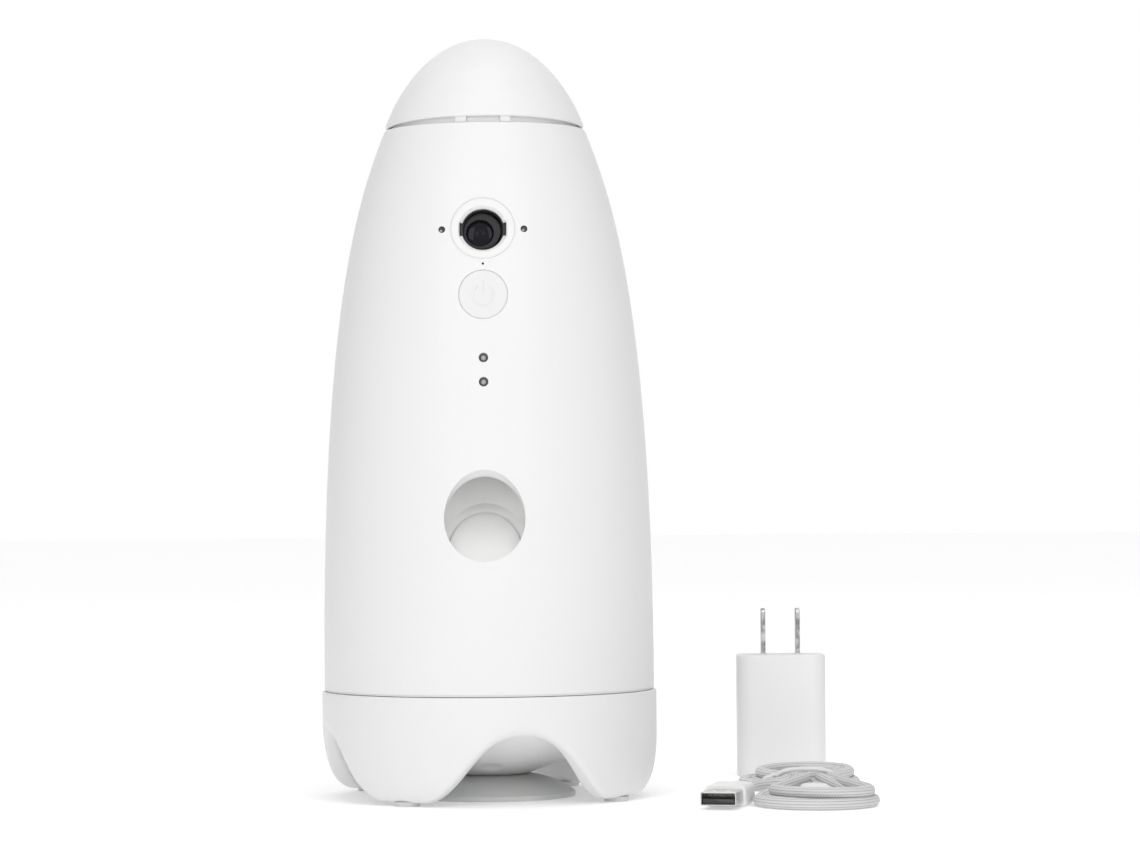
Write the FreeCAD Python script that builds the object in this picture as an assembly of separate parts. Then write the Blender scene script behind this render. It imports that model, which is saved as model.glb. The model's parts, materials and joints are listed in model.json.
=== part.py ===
"""Treat tossing pet camera: a rocket shaped tower on a legged base, with its wall adapter and braided lead.

Frame: millimetres, +Z up, origin on the floor under the middle of the suction cup. The lens and the treat
outlet face -Y. An angle called phi is measured from -Y towards +X. The base stands still, the tower turns
on the base's spindle, and the lid, button, feed wheel, kicker and plunger move in the tower. Every function
makes one node, and the table at the end writes each to parts/NODE.step.
"""

import FreeCAD
import Part
import math
import os

V = FreeCAD.Vector
UP = V(0, 0, 1)
FRONT = V(0, -1, 0)

# ---------------------------------------------------------------- fits
RUNNING = 0.06  # radial clearance of a shaft that turns in a hole
SNUG = 0.05  # radial clearance of a fixed piece in its hole
GAP = 0.3  # a piece beside its neighbour
SEAT = 0.2  # two flat faces that slide on each other

# ---------------------------------------------------------------- base
BASE_R = 58.0
BASE_TOP = 36.9
BASE_WALL = 2.7
RIM_ROUND = 0.6
LEG_BOTTOM = 1.6  # underside of the plastic legs, above the floor
LEG_FLAT_R = BASE_R - 8.0
BASE_TURN = 13.1  # phi of the front arch: the tower is panned this far from square
LEG_COUNT = 4
BOWL_BOTTOM = 9.1
BOWL_FLAT_R = 12.0
ARCH_TOP = BASE_TOP - 12.4
ARCH_SHARPNESS = 1.4
WAVE_LOW = 0.4  # lowest value of the underside's wave, below the legs so that it cuts them cleanly
LEG_INNER_R = BASE_R - 18.0
LEG_OUTER_R = BASE_R - 11.0
DIMPLE_PHI = -0.6
DIMPLE_R = BASE_R - 24.0
DIMPLE_HALF = 4.2
DIMPLE_BALL = 8.0
CAVITY_FLOOR = BOWL_BOTTOM + 3.1
CAVITY_FLAT_R = BOWL_FLAT_R + 4.0
CAVITY_SLOPE_R = BASE_R - 8.0
CAVITY_SLOPE_Z = ARCH_TOP - 0.3
CAVITY_SIDE_Z = ARCH_TOP + 3.5
PAD_R = 4.2
PAD_RING = BASE_R - 6.4  # the pads' distance from the axis
PAD_STEM_R = 3.0
PAD_STEM_TOP = LEG_BOTTOM + 2.6
CUP_R = 29.6
CUP_NECK_R = 13.5
CUP_LIP = 1.6
CUP_HOLLOW = 4.5
STUD_R = 3.0
STUD_TOP = CAVITY_FLOOR + 7.8
NUT_ACROSS = 10.0
NUT_TALL = 4.5
DECK_BOTTOM = BASE_TOP - 5.9
DECK_THICK = 2.2
DECK_BOSS_R = 4.0
DECK_SCREW_RING = BASE_R - 12.5
HUB_R = 9.0
SPINDLE_R = 6.0
SPINDLE_FLAT = 5.0  # the flat that keys the sun gear, from the axis
SPINDLE_SCREW_R = 1.5
SCREW_R = 1.25  # shank of the self tapping screws
SLIDE_RING_R = (BASE_R - 20.5, BASE_R - 16.5)

# ---------------------------------------------------------------- tower shell
BODY_BOTTOM = BASE_TOP + 0.6
BODY_TALL = 193.2
BODY_TOP = BODY_BOTTOM + BODY_TALL
BODY_WALL = 2.2
BODY_BOTTOM_R = BASE_R - 0.8
BODY_TOP_R = 34.7
BODY_RISE = 126.7  # how long the side keeps near its lower radius (first handle of the outline)
BODY_SHOULDER = 26.3  # second handle, along the slope at the top
BODY_TOP_SLOPE = 0.41  # radius lost for each millimetre of height at the top
FLOOR_BOTTOM = BODY_BOTTOM + 1.5
FLOOR_THICK = 2.5
FLOOR_BOSS_R = 3.4
FLOOR_SCREW_RING = BODY_BOTTOM_R - 5.4
FLOOR_BOSS_TALL = 12.0

# ---------------------------------------------------------------- pan drive
PAN_MODULE = 1.0
SUN_TEETH = 44
PAN_TEETH = 11
GEAR_THICK = 5.0
MESH_EASE = 0.05  # added to the centre distance of each gear pair
BACKLASH = 0.12
PAN_PHI = 235.0
PAN_GEARBOX = (10.0, 10.5)
PAN_CAN = (8.0, 12.0)
MOTOR_SHAFT_R = 1.5
BRACKET_THICK = 1.9

# ---------------------------------------------------------------- feed
OUTLET_Z = BODY_BOTTOM + BODY_TALL * 0.31056
FEED_FLOOR = OUTLET_Z + 39.1  # the floor under the feed wheel, above the launching channel
FEED_FLOOR_THICK = 2.8
BOARD_WIDE = 36.0
BOARD_THICK = 1.6
BOARD_FRONT = 3.7 - BODY_TOP_R  # the main board stands as far forward as the top of the shell lets it
HOPPER_WALL = 1.8
FEED_REAR = BODY_BOTTOM_R - 7.2  # how far back the feed floor reaches, inside the shell
WELL_FRONT = BOARD_FRONT + BOARD_THICK + 2.1 + HOPPER_WALL  # the wheel's well starts behind the main board
WELL_RIM = 8.5  # flange of the feed floor round the well
WELL_R = (FEED_REAR - WELL_RIM - WELL_FRONT) / 2
FEED_FLOOR_R = WELL_R + WELL_RIM
FEED_Y = FEED_REAR - FEED_FLOOR_R  # the feed wheel's axis is behind the tower's axis
WHEEL_R = WELL_R - 0.5
WHEEL_THICK = 10.2
POCKETS = 6
POCKET_RIM = 3.0  # wall outside a pocket
POCKET_RIB = 4.5  # wall between two pockets
POCKET_RING = (WHEEL_R - POCKET_RIM + POCKET_RIB / 2) / (1 + math.sin(math.pi / POCKETS))
POCKET_R = WHEEL_R - POCKET_RIM - POCKET_RING
AGITATOR_R = 8.0
AGITATOR_TALL = 8.0
FEED_SHAFT_R = 3.0
FEED_MODULE = 0.8
FEED_TEETH = 22
FEED_PINION_TEETH = 11
FEED_GEAR_THICK = 4.0
FEED_MOTOR = (12.0, 10.0, 24.0)  # width, depth and height of a small flat gear motor
POST_R = 3.5
POST_SCREW_R = 1.5
POST_RING = FEED_FLOOR_R - 3.0  # the posts' distance from the feed wheel's axis
POST_PHI = (59.2, -59.2, 138.0, -138.0)
POSTS = [(POST_RING * math.sin(math.radians(phi)), FEED_Y - POST_RING * math.cos(math.radians(phi)))
         for phi in POST_PHI]

# ---------------------------------------------------------------- hopper and lid
FLANGE_THICK = 2.0
HOPPER_GAP = 1.2  # between the hopper and the shell
HOPPER_FRONT = BOARD_FRONT + 6.5  # inside face of the hopper's flat front
FEED_FLOOR_FRONT = BOARD_FRONT + 3.4
FUNNEL_TOP = BODY_TOP - 58.7
NECK_R = BODY_TOP_R - 4.7
NECK_TOP = BODY_TOP + 1.3
NECK_BOTTOM = NECK_TOP - 16.0
COLLAR_BOTTOM = BODY_TOP - 3.2
LID_BOTTOM = BODY_TOP + 2.0
LID_TALL = 29.8
LID_TOP = LID_BOTTOM + LID_TALL
LID_R = BODY_TOP_R - 0.2
LID_WALL = 2.0
LID_SLOPE = 0.42
LID_HANDLE = 8.1
LID_CROWN = LID_R - 14.25
PLUG_R = NECK_R - 1.6
PLUG_WALL = 1.6
PLUG_BOTTOM = LID_BOTTOM - 10.7
PLUG_FLANGE_R = LID_R - 2.6
SEAL_Z = (PLUG_BOTTOM + 3.5, PLUG_BOTTOM + 7.0)
SEAL_RIB = 0.7  # how far the seal's two soft ribs stand out

# ---------------------------------------------------------------- camera and face
CAMERA_Z = BODY_TOP - 37.1
BEZEL_R = 11.2
BEZEL_BORE = 7.2
BEZEL_CHAMFER = 0.35
BEZEL_THICK = 3.2
SLEEVE_R = 8.7
HOLDER_R = 6.95
EAR = (7.75, 2.4)  # half width and half height of the lens holder's side ears
HOLDER_FRONT = 1.2
HOLDER_BACK = 10.0
BARREL_R = 6.0
BARREL_FRONT = 3.0
GLASS_R = 4.2
GLASS_FRONT = 4.6
CAMERA_BOARD = (34.0, 13.0, 1.2)
IR_X = 13.8
IR_R = 1.15
MIC_Z = CAMERA_Z - 11.8
MIC_HOLE_R = 0.4
MIC_R = 1.3
BUTTON_Z = CAMERA_Z - 22.2
BUTTON_R = 8.1
BUTTON_GAP = 0.22
BUTTON_THICK = 2.4
BUTTON_STEM_R = 2.0
BUTTON_TRAVEL = 0.8
SWITCH_TALL = 3.5
MARK_R = 3.5  # the power mark's ring
MARK_LINE = 0.55
MARK_DEPTH = 0.25
BOARD_BOTTOM = FEED_FLOOR - 0.6
BOARD_TOP = CAMERA_Z + 13.4
WINDOW_Z = [BUTTON_Z - share * (BUTTON_Z - BOARD_BOTTOM) for share in (0.599, 0.828)]
WINDOW_R = 1.6
BOARD_BOSS_R = 2.4
BOARD_SCREWS = [(side * (BOARD_WIDE / 2 - 3.0), z) for z in (BOARD_BOTTOM + 5.0, BOARD_TOP - 4.0)
                for side in (1, -1)]

# ---------------------------------------------------------------- outlet and kicker
OUTLET_R = 13.6
OUTLET_RISE = 30.0  # the outlet is bored upwards, towards the outside, by this angle
CHANNEL_Y = 7.2 - BODY_BOTTOM_R  # axis of the round back of the launching channel
CHANNEL_R = 14.0
CHANNEL_WALL = 2.0
CHANNEL_BOTTOM = OUTLET_Z - 23.5
CHANNEL_TOP = FEED_FLOOR - 2.6
KICKER_PIVOT = (CHANNEL_Y + 1.7, OUTLET_Z - 14.3)
KICKER_LEAN = 48.0
KICKER_THICK = 2.0
KICKER_EASE = 0.35
KICKER_FRONT = 5.2  # how far the plate reaches in front of its pin, along the plate
KICKER_BARREL_R = 2.5
PIN_R = 1.2
PLUNGER_R = 2.5
PLUNGER_HIGH = 9.0  # plunger's axis above the kicker's pin
PLUNGER_BALL_Y = KICKER_PIVOT[0] + 13.2
COIL_R = 6.9
SOLENOID_Y = (CHANNEL_Y + 18.0, CHANNEL_Y + 43.0)
PLUNGER_TAIL = SOLENOID_Y[1] + 12.0
SOLENOID_HALF = (9.0, 8.2)
FRAME_THICK = 1.5
SPRING_R = 3.9
SPRING_WIRE = 0.3
SPRING_TURNS = 5
CHUTE_HALF = POCKET_R + 2.0
CHUTE_WALL = 1.6
CHUTE_BACK = FEED_Y - POCKET_RING + POCKET_R + 1.0
CHUTE_FRONT = FEED_Y - POCKET_RING - POCKET_R - 1.5
CHUTE_LIP = OUTLET_Z + 13.4  # lower edge of the chute's window in the channel's back, hidden from the front
CHUTE_SLOPE = (FEED_FLOOR - 5.6 - CHUTE_LIP) / (CHUTE_BACK - CHANNEL_Y - CHANNEL_R)
CHUTE_ROOF_SLOPE = 0.8

# ---------------------------------------------------------------- sound and power
SPEAKER_Z = BODY_BOTTOM + 57.5
SPEAKER_R = 16.0
SPEAKER_Y = (BODY_BOTTOM_R - 13.7, BODY_BOTTOM_R - 7.7)
GRILLE_HOLE_R = 0.8
GRILLE_RING_R = (0.0, 4.4, 8.8)
GRILLE_COUNT = (1, 6, 12)
INLET_Z = BODY_BOTTOM + 14.5
INLET = (8.94, 3.26, 7.4)  # a USB-C receptacle: width, height and length
INLET_MOUTH = (9.4, 3.7)
INLET_BOARD = (20.0, 18.0, 1.6)

# ---------------------------------------------------------------- accessories beside the camera
ADAPTER = (32.3, 21.0, 44.8)
ADAPTER_AT = (BASE_R + 48.0, 86.0)
ADAPTER_ROUND = 5.5
ADAPTER_WALL = 1.8
PRONG = (1.5, 6.35, 17.0)
PRONG_APART = 12.7
USB_A = (12.0, 4.5, 12.2)
PORT = (13.2, 5.6)
CORD_R = 1.95
HANK_AT = (BASE_R + 50.5, -12.0)
HANK_TALL = 8.2
TIE_R = 0.8
USB_C_AT = (1.5, -19.0)
USB_C_END = -11.0  # where its stub of cord joins the hank


# ---------------------------------------------------------------- reach of the cuts
FAR = BASE_R + 12.0  # past the outside of the tower
HIGH = LID_TOP + 37.5  # past its top


# ================================================================ helpers
def cylinder(r, z0, z1, x=0.0, y=0.0):
    return Part.makeCylinder(r, z1 - z0, V(x, y, z0))


def ring(outer, inner, z0, z1, x=0.0, y=0.0):
    return cylinder(outer, z0, z1, x, y).cut(cylinder(inner, z0 - 1, z1 + 1, x, y))


def rod(r, start, end):
    return Part.makeCylinder(r, (end - start).Length, start, end - start)


def box(x0, x1, y0, y1, z0, z1):
    return Part.makeBox(x1 - x0, y1 - y0, z1 - z0, V(x0, y0, z0))


def prism(points, depth):
    """A closed outline of points or edges, pushed along a vector."""
    edges = [p for p in points if isinstance(p, Part.Edge)]
    wire = Part.Wire(edges) if edges else Part.makePolygon(points + points[:1])
    return Part.Face(wire).extrude(depth)


def line(*points):
    """Straight edges through (radius, height) pairs in the XZ plane."""
    at = [V(r, 0, z) for r, z in points]
    return [Part.LineSegment(a, b).toShape() for a, b in zip(at[:-1], at[1:])]


def curve(poles):
    bezier = Part.BezierCurve()
    bezier.setPoles([V(r, 0, z) for r, z in poles])
    return bezier.toShape()


def turned(edges):
    """Revolves a closed outline in the XZ plane about Z."""
    return Part.Face(Part.Wire(Part.__sortEdges__(edges))).revolve(V(0, 0, 0), UP, 360)


def fused(*solids):
    whole = solids[0]
    for solid in solids[1:]:
        whole = whole.fuse(solid)
    return whole.removeSplitter()


def heading(phi, distance=1.0):
    a = math.radians(phi)
    return V(math.sin(a) * distance, -math.cos(a) * distance, 0)


def rounded_circles(shape, radius, keep):
    """Rounds the full circles that keep(edge) picks."""
    circles = [e for e in shape.Edges if not e.Degenerated and isinstance(e.Curve, Part.Circle) and keep(e)]
    return shape.makeFillet(radius, circles)


def rounded_block(width, depth, z0, z1, radius, x=0.0, y=0.0):
    """An upright block with rounded vertical edges, centred on x and y."""
    block = box(x - width / 2, x + width / 2, y - depth / 2, y + depth / 2, z0, z1)
    upright = [e for e in block.Edges if abs(e.tangentAt(e.FirstParameter).z) > 0.9]
    return block.makeFillet(radius, upright)


def slot_block(width, height, start, end):
    """A flat sided bar with round ends, as wide as X, along start to end in the YZ plane."""
    r = height / 2
    along = end - start
    span = width / 2 - r
    side = V(span, 0, 0)
    up = along.cross(V(1, 0, 0)).normalize() * r
    core = prism([start - side - up, start + side - up, start + side + up, start - side + up], along)
    return fused(core, *[Part.makeCylinder(r, along.Length, start + s, along) for s in (side, side * -1)])


def screw(head_r, head_tall, shank_r, length, seat, way):
    """A pan head screw: seat is under the head, and way points along the shank."""
    head = Part.makeCylinder(head_r, head_tall, seat, way * -1)
    top = seat - way * head_tall
    head = rounded_circles(head, head_tall * 0.4, lambda e: (e.Curve.Center - top).Length < 0.01)
    side = way.cross(V(1, 0, 0) if abs(way.x) < 0.5 else UP).normalize()
    for across in (side, way.cross(side)):
        width = head_r * 0.28
        half = across * head_r * 0.62
        low = top + way * head_tall * 0.55
        other = way.cross(across).normalize() * width / 2
        corners = [low - half - other, low + half - other, low + half + other, low - half + other]
        head = head.cut(prism(corners, way * -head_tall))
    return fused(head, Part.makeCylinder(shank_r, length, seat, way))


def gear(module, teeth, z0, z1, bore, phase=0.0, x=0.0, y=0.0):
    """A stub-toothed involute spur gear. phase is the direction of one tooth, in degrees from +X."""
    pressure = math.radians(20)
    pitch = module * teeth / 2
    base = pitch * math.cos(pressure)
    tip, root = pitch + 0.68 * module, pitch - 0.95 * module
    half_at_pitch = math.pi / (2 * teeth) - BACKLASH / (2 * pitch)

    def half_angle(r):
        a = math.acos(min(1.0, base / r))
        return half_at_pitch + math.tan(pressure) - pressure - (math.tan(a) - a)

    def at(r, angle):
        return V(r * math.cos(angle), r * math.sin(angle), 0)

    flank = [max(root, base), (max(root, base) + tip) / 2, tip]
    edges = []
    step = 2 * math.pi / teeth
    for k in range(teeth):
        mid = math.radians(phase) + k * step
        rise = [at(r, mid - half_angle(r)) for r in flank]
        fall = [at(r, mid + half_angle(r)) for r in reversed(flank)]
        low = half_angle(flank[0])
        if root < base:
            edges.append(Part.LineSegment(at(root, mid - low), rise[0]).toShape())
        edges.append(Part.Arc(*rise).toShape())
        edges.append(Part.Arc(rise[-1], at(tip, mid), fall[0]).toShape())
        edges.append(Part.Arc(*fall).toShape())
        if root < base:
            edges.append(Part.LineSegment(fall[-1], at(root, mid + low)).toShape())
        valley = (at(root, mid + low), at(root, mid + step / 2), at(root, mid + step - low))
        edges.append(Part.Arc(*valley).toShape())
    blank = Part.Face(Part.Wire(edges)).extrude(V(0, 0, z1 - z0))
    blank.translate(V(x, y, z0))
    return blank.cut(cylinder(bore, z0 - 1, z1 + 1, x, y)) if bore else blank


# ================================================================ the tower's outline
def body_poles(inset=0.0):
    """The side of the rocket, as Bezier poles from the bottom rim to the top rim."""
    top_r = BODY_TOP_R - inset
    return [
        (BODY_BOTTOM_R - inset, BODY_BOTTOM),
        (BODY_BOTTOM_R - inset, BODY_BOTTOM + BODY_RISE),
        (top_r + BODY_TOP_SLOPE * BODY_SHOULDER, BODY_TOP - BODY_SHOULDER),
        (top_r, BODY_TOP),
    ]


def body_radius(z):
    """The tower's outer radius at a height."""
    poles = body_poles()
    low, high = 0.0, 1.0
    for _ in range(40):
        t = (low + high) / 2
        weights = [(1 - t) ** 3, 3 * (1 - t) ** 2 * t, 3 * (1 - t) * t * t, t ** 3]
        r, height = (sum(w * p[i] for w, p in zip(weights, poles)) for i in (0, 1))
        low, high = (t, high) if height < z else (low, t)
    return r


def tower_solid(inset=0.0, below=0.0, above=0.0):
    """The tower as a full solid, drawn in by inset and run on past its rims."""
    poles = body_poles(inset)
    bottom, top = (poles[0][0], BODY_BOTTOM - below), (poles[3][0], BODY_TOP + above)
    edges = line((0, bottom[1]), bottom) + (line(bottom, poles[0]) if below else [])
    edges += [curve(poles)] + (line(poles[3], top) if above else [])
    return turned(edges + line(top, (0, top[1]), (0, bottom[1])))


def face_point(z, x=0.0):
    return V(x, -math.sqrt(body_radius(z) ** 2 - x * x), z)


def face_slope(z):
    return math.atan((body_radius(z - 1) - body_radius(z + 1)) / 2)


CAMERA_FACE = face_point(CAMERA_Z)
CAMERA_OUT = V(0, -math.cos(face_slope(CAMERA_Z)), math.sin(face_slope(CAMERA_Z)))


def along_camera(depth):
    """A point on the lens's axis, that deep behind the face."""
    return CAMERA_FACE - CAMERA_OUT * depth


# ================================================================ base
def underside_height(x, y):
    """Height of the base's underside: a bowl in the middle, and legs with arches between them."""
    r = min(math.hypot(x, y), BASE_R + 2)
    turn = math.atan2(x, -y) - math.radians(BASE_TURN)
    arch = (0.5 + 0.5 * math.cos(LEG_COUNT * turn)) ** ARCH_SHARPNESS
    out = max(0.0, (r - BOWL_FLAT_R) / (BASE_R - BOWL_FLAT_R))
    bowl = BOWL_BOTTOM + (ARCH_TOP - BOWL_BOTTOM) * out ** 1.5
    s = min(1.0, max(0.0, (r - LEG_INNER_R) / (LEG_OUTER_R - LEG_INNER_R)))
    return bowl - (bowl - WAVE_LOW) * (1 - arch) * s * s * (3 - 2 * s)


def under_cutter():
    """Everything below the underside, as one block with the moulded surface on top."""
    steps = 16
    rows = [(BASE_R + 6.0) * k / steps for k in range(-steps, steps + 1)]
    surface = Part.BSplineSurface()
    surface.interpolate([[V(x, y, underside_height(x, y)) for y in rows] for x in rows])
    return surface.toShape().extrude(V(0, 0, -60))


def leg_phi(k):
    return BASE_TURN + (k + 0.5) * 360.0 / LEG_COUNT


def base_shell():
    side_top = BASE_TOP - 3.9
    side = [(BASE_R, side_top), (BASE_R - 0.2, LEG_BOTTOM + 12.4), (BASE_R - 1.2, LEG_BOTTOM),
            (LEG_FLAT_R, LEG_BOTTOM)]
    rim = [(BASE_R, BASE_TOP), (0, BASE_TOP), (0, LEG_BOTTOM), (LEG_FLAT_R, LEG_BOTTOM)]
    block = turned([curve(side)] + line(side[0], rim[0]) + line(*rim))
    block = rounded_circles(block, RIM_ROUND, lambda e: abs(e.Curve.Center.z - BASE_TOP) < 0.01)
    shell = block.cut(under_cutter())
    inner = BASE_R - BASE_WALL
    cavity = turned(line(
        (0, CAVITY_FLOOR), (CAVITY_FLAT_R, CAVITY_FLOOR), (CAVITY_SLOPE_R, CAVITY_SLOPE_Z),
        (inner, CAVITY_SIDE_Z), (inner, BASE_TOP + 1), (0, BASE_TOP + 1), (0, CAVITY_FLOOR)))
    shell = shell.cut(cavity)
    for k in range(LEG_COUNT):
        at = heading(leg_phi(k), DECK_SCREW_RING)
        foot = heading(leg_phi(k), PAD_RING)
        shell = shell.fuse(cylinder(DECK_BOSS_R, CAVITY_FLOOR + 6, DECK_BOTTOM, at.x, at.y))
        shell = shell.cut(cylinder(SCREW_R + SNUG, DECK_BOTTOM - 12, DECK_BOTTOM + 1, at.x, at.y))
        shell = shell.cut(cylinder(PAD_STEM_R + SNUG, 0, PAD_STEM_TOP + SNUG, foot.x, foot.y))
    shell = shell.cut(cylinder(STUD_R + SNUG, 0, CAVITY_FLOOR + 1))
    dip = heading(DIMPLE_PHI, DIMPLE_R)
    slope = math.atan(underside_height(dip.x, dip.y - 1) - underside_height(dip.x, dip.y))
    below = math.sqrt(DIMPLE_BALL ** 2 - DIMPLE_HALF ** 2)
    centre = dip + V(0, 0, underside_height(dip.x, dip.y)) - V(0, math.sin(slope), math.cos(slope)) * below
    return shell.cut(Part.makeSphere(DIMPLE_BALL, centre))


def base_deck():
    deck = cylinder(BASE_R - BASE_WALL - GAP, DECK_BOTTOM, DECK_BOTTOM + DECK_THICK)
    hub = cylinder(HUB_R, DECK_BOTTOM, FLOOR_BOTTOM - SEAT)
    spindle = cylinder(SPINDLE_R, DECK_BOTTOM, SUN_TOP - 0.1)
    key = box(-SPINDLE_R, SPINDLE_R, SPINDLE_FLAT, SPINDLE_R + 1, SUN_BOTTOM - SEAT / 2, SUN_TOP + 1)
    screw_hole = cylinder(SPINDLE_SCREW_R + SNUG, DECK_BOTTOM + 4, SUN_TOP + 1)
    deck = fused(deck, hub, spindle.cut(key)).cut(screw_hole)
    for k in range(LEG_COUNT):
        at = heading(leg_phi(k), DECK_SCREW_RING)
        deck = deck.cut(cylinder(SCREW_R + SNUG, DECK_BOTTOM - 1, DECK_BOTTOM + DECK_THICK + 1, at.x, at.y))
    return deck


SUN_BOTTOM = FLOOR_BOTTOM + FLOOR_THICK + 0.6
SUN_TOP = SUN_BOTTOM + GEAR_THICK


def sun_gear():
    toward = PAN_PHI - 90.0
    wheel = gear(PAN_MODULE, SUN_TEETH, SUN_BOTTOM, SUN_TOP, 0, toward)
    bore = cylinder(SPINDLE_R + SNUG, SUN_BOTTOM - 1, SUN_TOP + 1)
    reach = SPINDLE_R * 2
    flat = box(-reach, reach, SPINDLE_FLAT + SNUG, reach, SUN_BOTTOM - 2, SUN_TOP + 2)
    return wheel.cut(bore.cut(flat))


def slide_ring():
    return ring(SLIDE_RING_R[1], SLIDE_RING_R[0], DECK_BOTTOM + DECK_THICK, FLOOR_BOTTOM - SEAT)


def deck_screws():
    deck_top = V(0, 0, DECK_BOTTOM + DECK_THICK)
    seats = [heading(leg_phi(k), DECK_SCREW_RING) + deck_top for k in range(LEG_COUNT)]
    return [screw(2.5, 1.8, SCREW_R, 11.0, seat, UP * -1) for seat in seats]


def spindle_screw():
    return screw(HUB_R - 1.0, 2.0, SPINDLE_SCREW_R, 10.0, V(0, 0, SUN_TOP), UP * -1)


def foot_pads():
    pads = []
    for k in range(LEG_COUNT):
        at = heading(leg_phi(k), PAD_RING)
        disc = rounded_circles(cylinder(PAD_R, 0, LEG_BOTTOM - 0.1, at.x, at.y), 0.4, lambda e: True)
        pads.append(fused(disc, cylinder(PAD_STEM_R, 0.5, PAD_STEM_TOP, at.x, at.y)))
    return pads


def suction_cup():
    """A soft cup with a hollow underside and a thin lip on the floor."""
    top = BOWL_BOTTOM - 0.15
    outside = curve([(CUP_R, CUP_LIP), (CUP_R - 4, 5.6), (CUP_NECK_R + 7, top - 0.6), (CUP_NECK_R, top)])
    lip = Part.Arc(V(CUP_R - 1.0, 0, 0), V(CUP_R - 0.1, 0, 0.55), V(CUP_R, 0, CUP_LIP)).toShape()
    hollow = curve([(CUP_R - 3.0, 0), (CUP_R - 9, CUP_HOLLOW * 0.7), (12.0, CUP_HOLLOW), (0, CUP_HOLLOW)])
    return turned([outside, lip, hollow] + line((CUP_R - 3.0, 0), (CUP_R - 1.0, 0))
                  + line((CUP_NECK_R, top), (0, top), (0, CUP_HOLLOW))).cut(
        cylinder(STUD_R + SNUG, CUP_HOLLOW + 1.5, BOWL_BOTTOM).fuse(
            cylinder(STUD_R + 2 + SNUG, CUP_HOLLOW + 1.5 - SNUG, CUP_HOLLOW + 3 + SNUG)))


def suction_stud():
    """The stud moulded into the cup, with its head held in the rubber."""
    low = CUP_HOLLOW + 1.5
    return fused(cylinder(STUD_R + 2, low, low + 1.5), cylinder(STUD_R, low, STUD_TOP))


def suction_nut():
    """A flanged hexagon nut inside the base, on the stud."""
    corners = [heading(60 * k, NUT_ACROSS / math.sqrt(3)) + V(0, 0, CAVITY_FLOOR + 1) for k in range(6)]
    flange = cylinder(NUT_ACROSS * 0.7, CAVITY_FLOOR, CAVITY_FLOOR + 1.2)
    nut = fused(prism(corners, V(0, 0, NUT_TALL)), flange)
    return nut.cut(cylinder(STUD_R + SNUG, CAVITY_FLOOR - 1, CAVITY_FLOOR + NUT_TALL + 2))


# ================================================================ tower shell
def outlet_bore(radius, reach_out=12.0, reach_in=10.0):
    rise = math.radians(OUTLET_RISE)
    out = V(0, -math.cos(rise), math.sin(rise))
    at = face_point(OUTLET_Z)
    return rod(radius, at - out * reach_in, at + out * reach_out)


def front_rod(radius, z, x=0.0):
    """A rod from outside the tower to just in front of the main board."""
    return rod(radius, V(x, -FAR, z), V(x, BOARD_FRONT - 2.0, z))


def grille_points():
    points = []
    for distance, count in zip(GRILLE_RING_R, GRILLE_COUNT):
        for k in range(count):
            a = 2 * math.pi * k / count
            points.append((distance * math.cos(a), SPEAKER_Z + distance * math.sin(a)))
    return points


def body_shell():
    outer = tower_solid()
    outer = rounded_circles(outer, 0.9, lambda e: abs(e.Curve.Center.z - BODY_TOP) < 0.01)
    outer = rounded_circles(outer, 0.5, lambda e: abs(e.Curve.Center.z - BODY_BOTTOM) < 0.01)
    shell = outer.cut(tower_solid(BODY_WALL, 1.0, 1.0))
    grip = tower_solid(BODY_WALL * 0.4)
    floor_top = FLOOR_BOTTOM + FLOOR_THICK
    adds, holes = [], []
    for k in range(4):
        at = heading(45 + 90 * k, FLOOR_SCREW_RING)
        adds.append(cylinder(FLOOR_BOSS_R, floor_top, floor_top + FLOOR_BOSS_TALL, at.x, at.y))
        holes.append(cylinder(SCREW_R + SNUG, floor_top - 1, floor_top + FLOOR_BOSS_TALL - 2, at.x, at.y))
    for x, z in BOARD_SCREWS:
        adds.append(rod(BOARD_BOSS_R, V(x, BOARD_FRONT, z), V(x, -FAR, z)))
        holes.append(rod(1.0 + SNUG, V(x, BOARD_FRONT + 1, z), V(x, BOARD_FRONT - 6, z)))
    speaker_seat = rod(SPEAKER_R + GAP + 1.6, V(0, SPEAKER_Y[0] + 1, SPEAKER_Z), V(0, FAR, SPEAKER_Z))
    adds.append(speaker_seat.cut(rod(SPEAKER_R + GAP, V(0, 0, SPEAKER_Z), V(0, FAR, SPEAKER_Z))))
    for add in adds:
        shell = shell.fuse(add.common(grip))
    holes.append(rod(BEZEL_R + SNUG, along_camera(-5), along_camera(12)))
    holes += [front_rod(IR_R, CAMERA_Z, side * IR_X) for side in (1, -1)]
    holes += [front_rod(MIC_HOLE_R, MIC_Z), front_rod(BUTTON_R + BUTTON_GAP, BUTTON_Z)]
    holes += [front_rod(WINDOW_R, z) for z in WINDOW_Z]
    holes.append(outlet_bore(OUTLET_R))
    holes += [rod(GRILLE_HOLE_R, V(x, SPEAKER_Y[1], z), V(x, FAR, z)) for x, z in grille_points()]
    inlet_back = V(0, BODY_BOTTOM_R - 7.2, INLET_Z)
    holes.append(slot_block(INLET_MOUTH[0], INLET_MOUTH[1], inlet_back, V(0, FAR, INLET_Z)))
    for hole in holes:
        shell = shell.cut(hole)
    return shell


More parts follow.
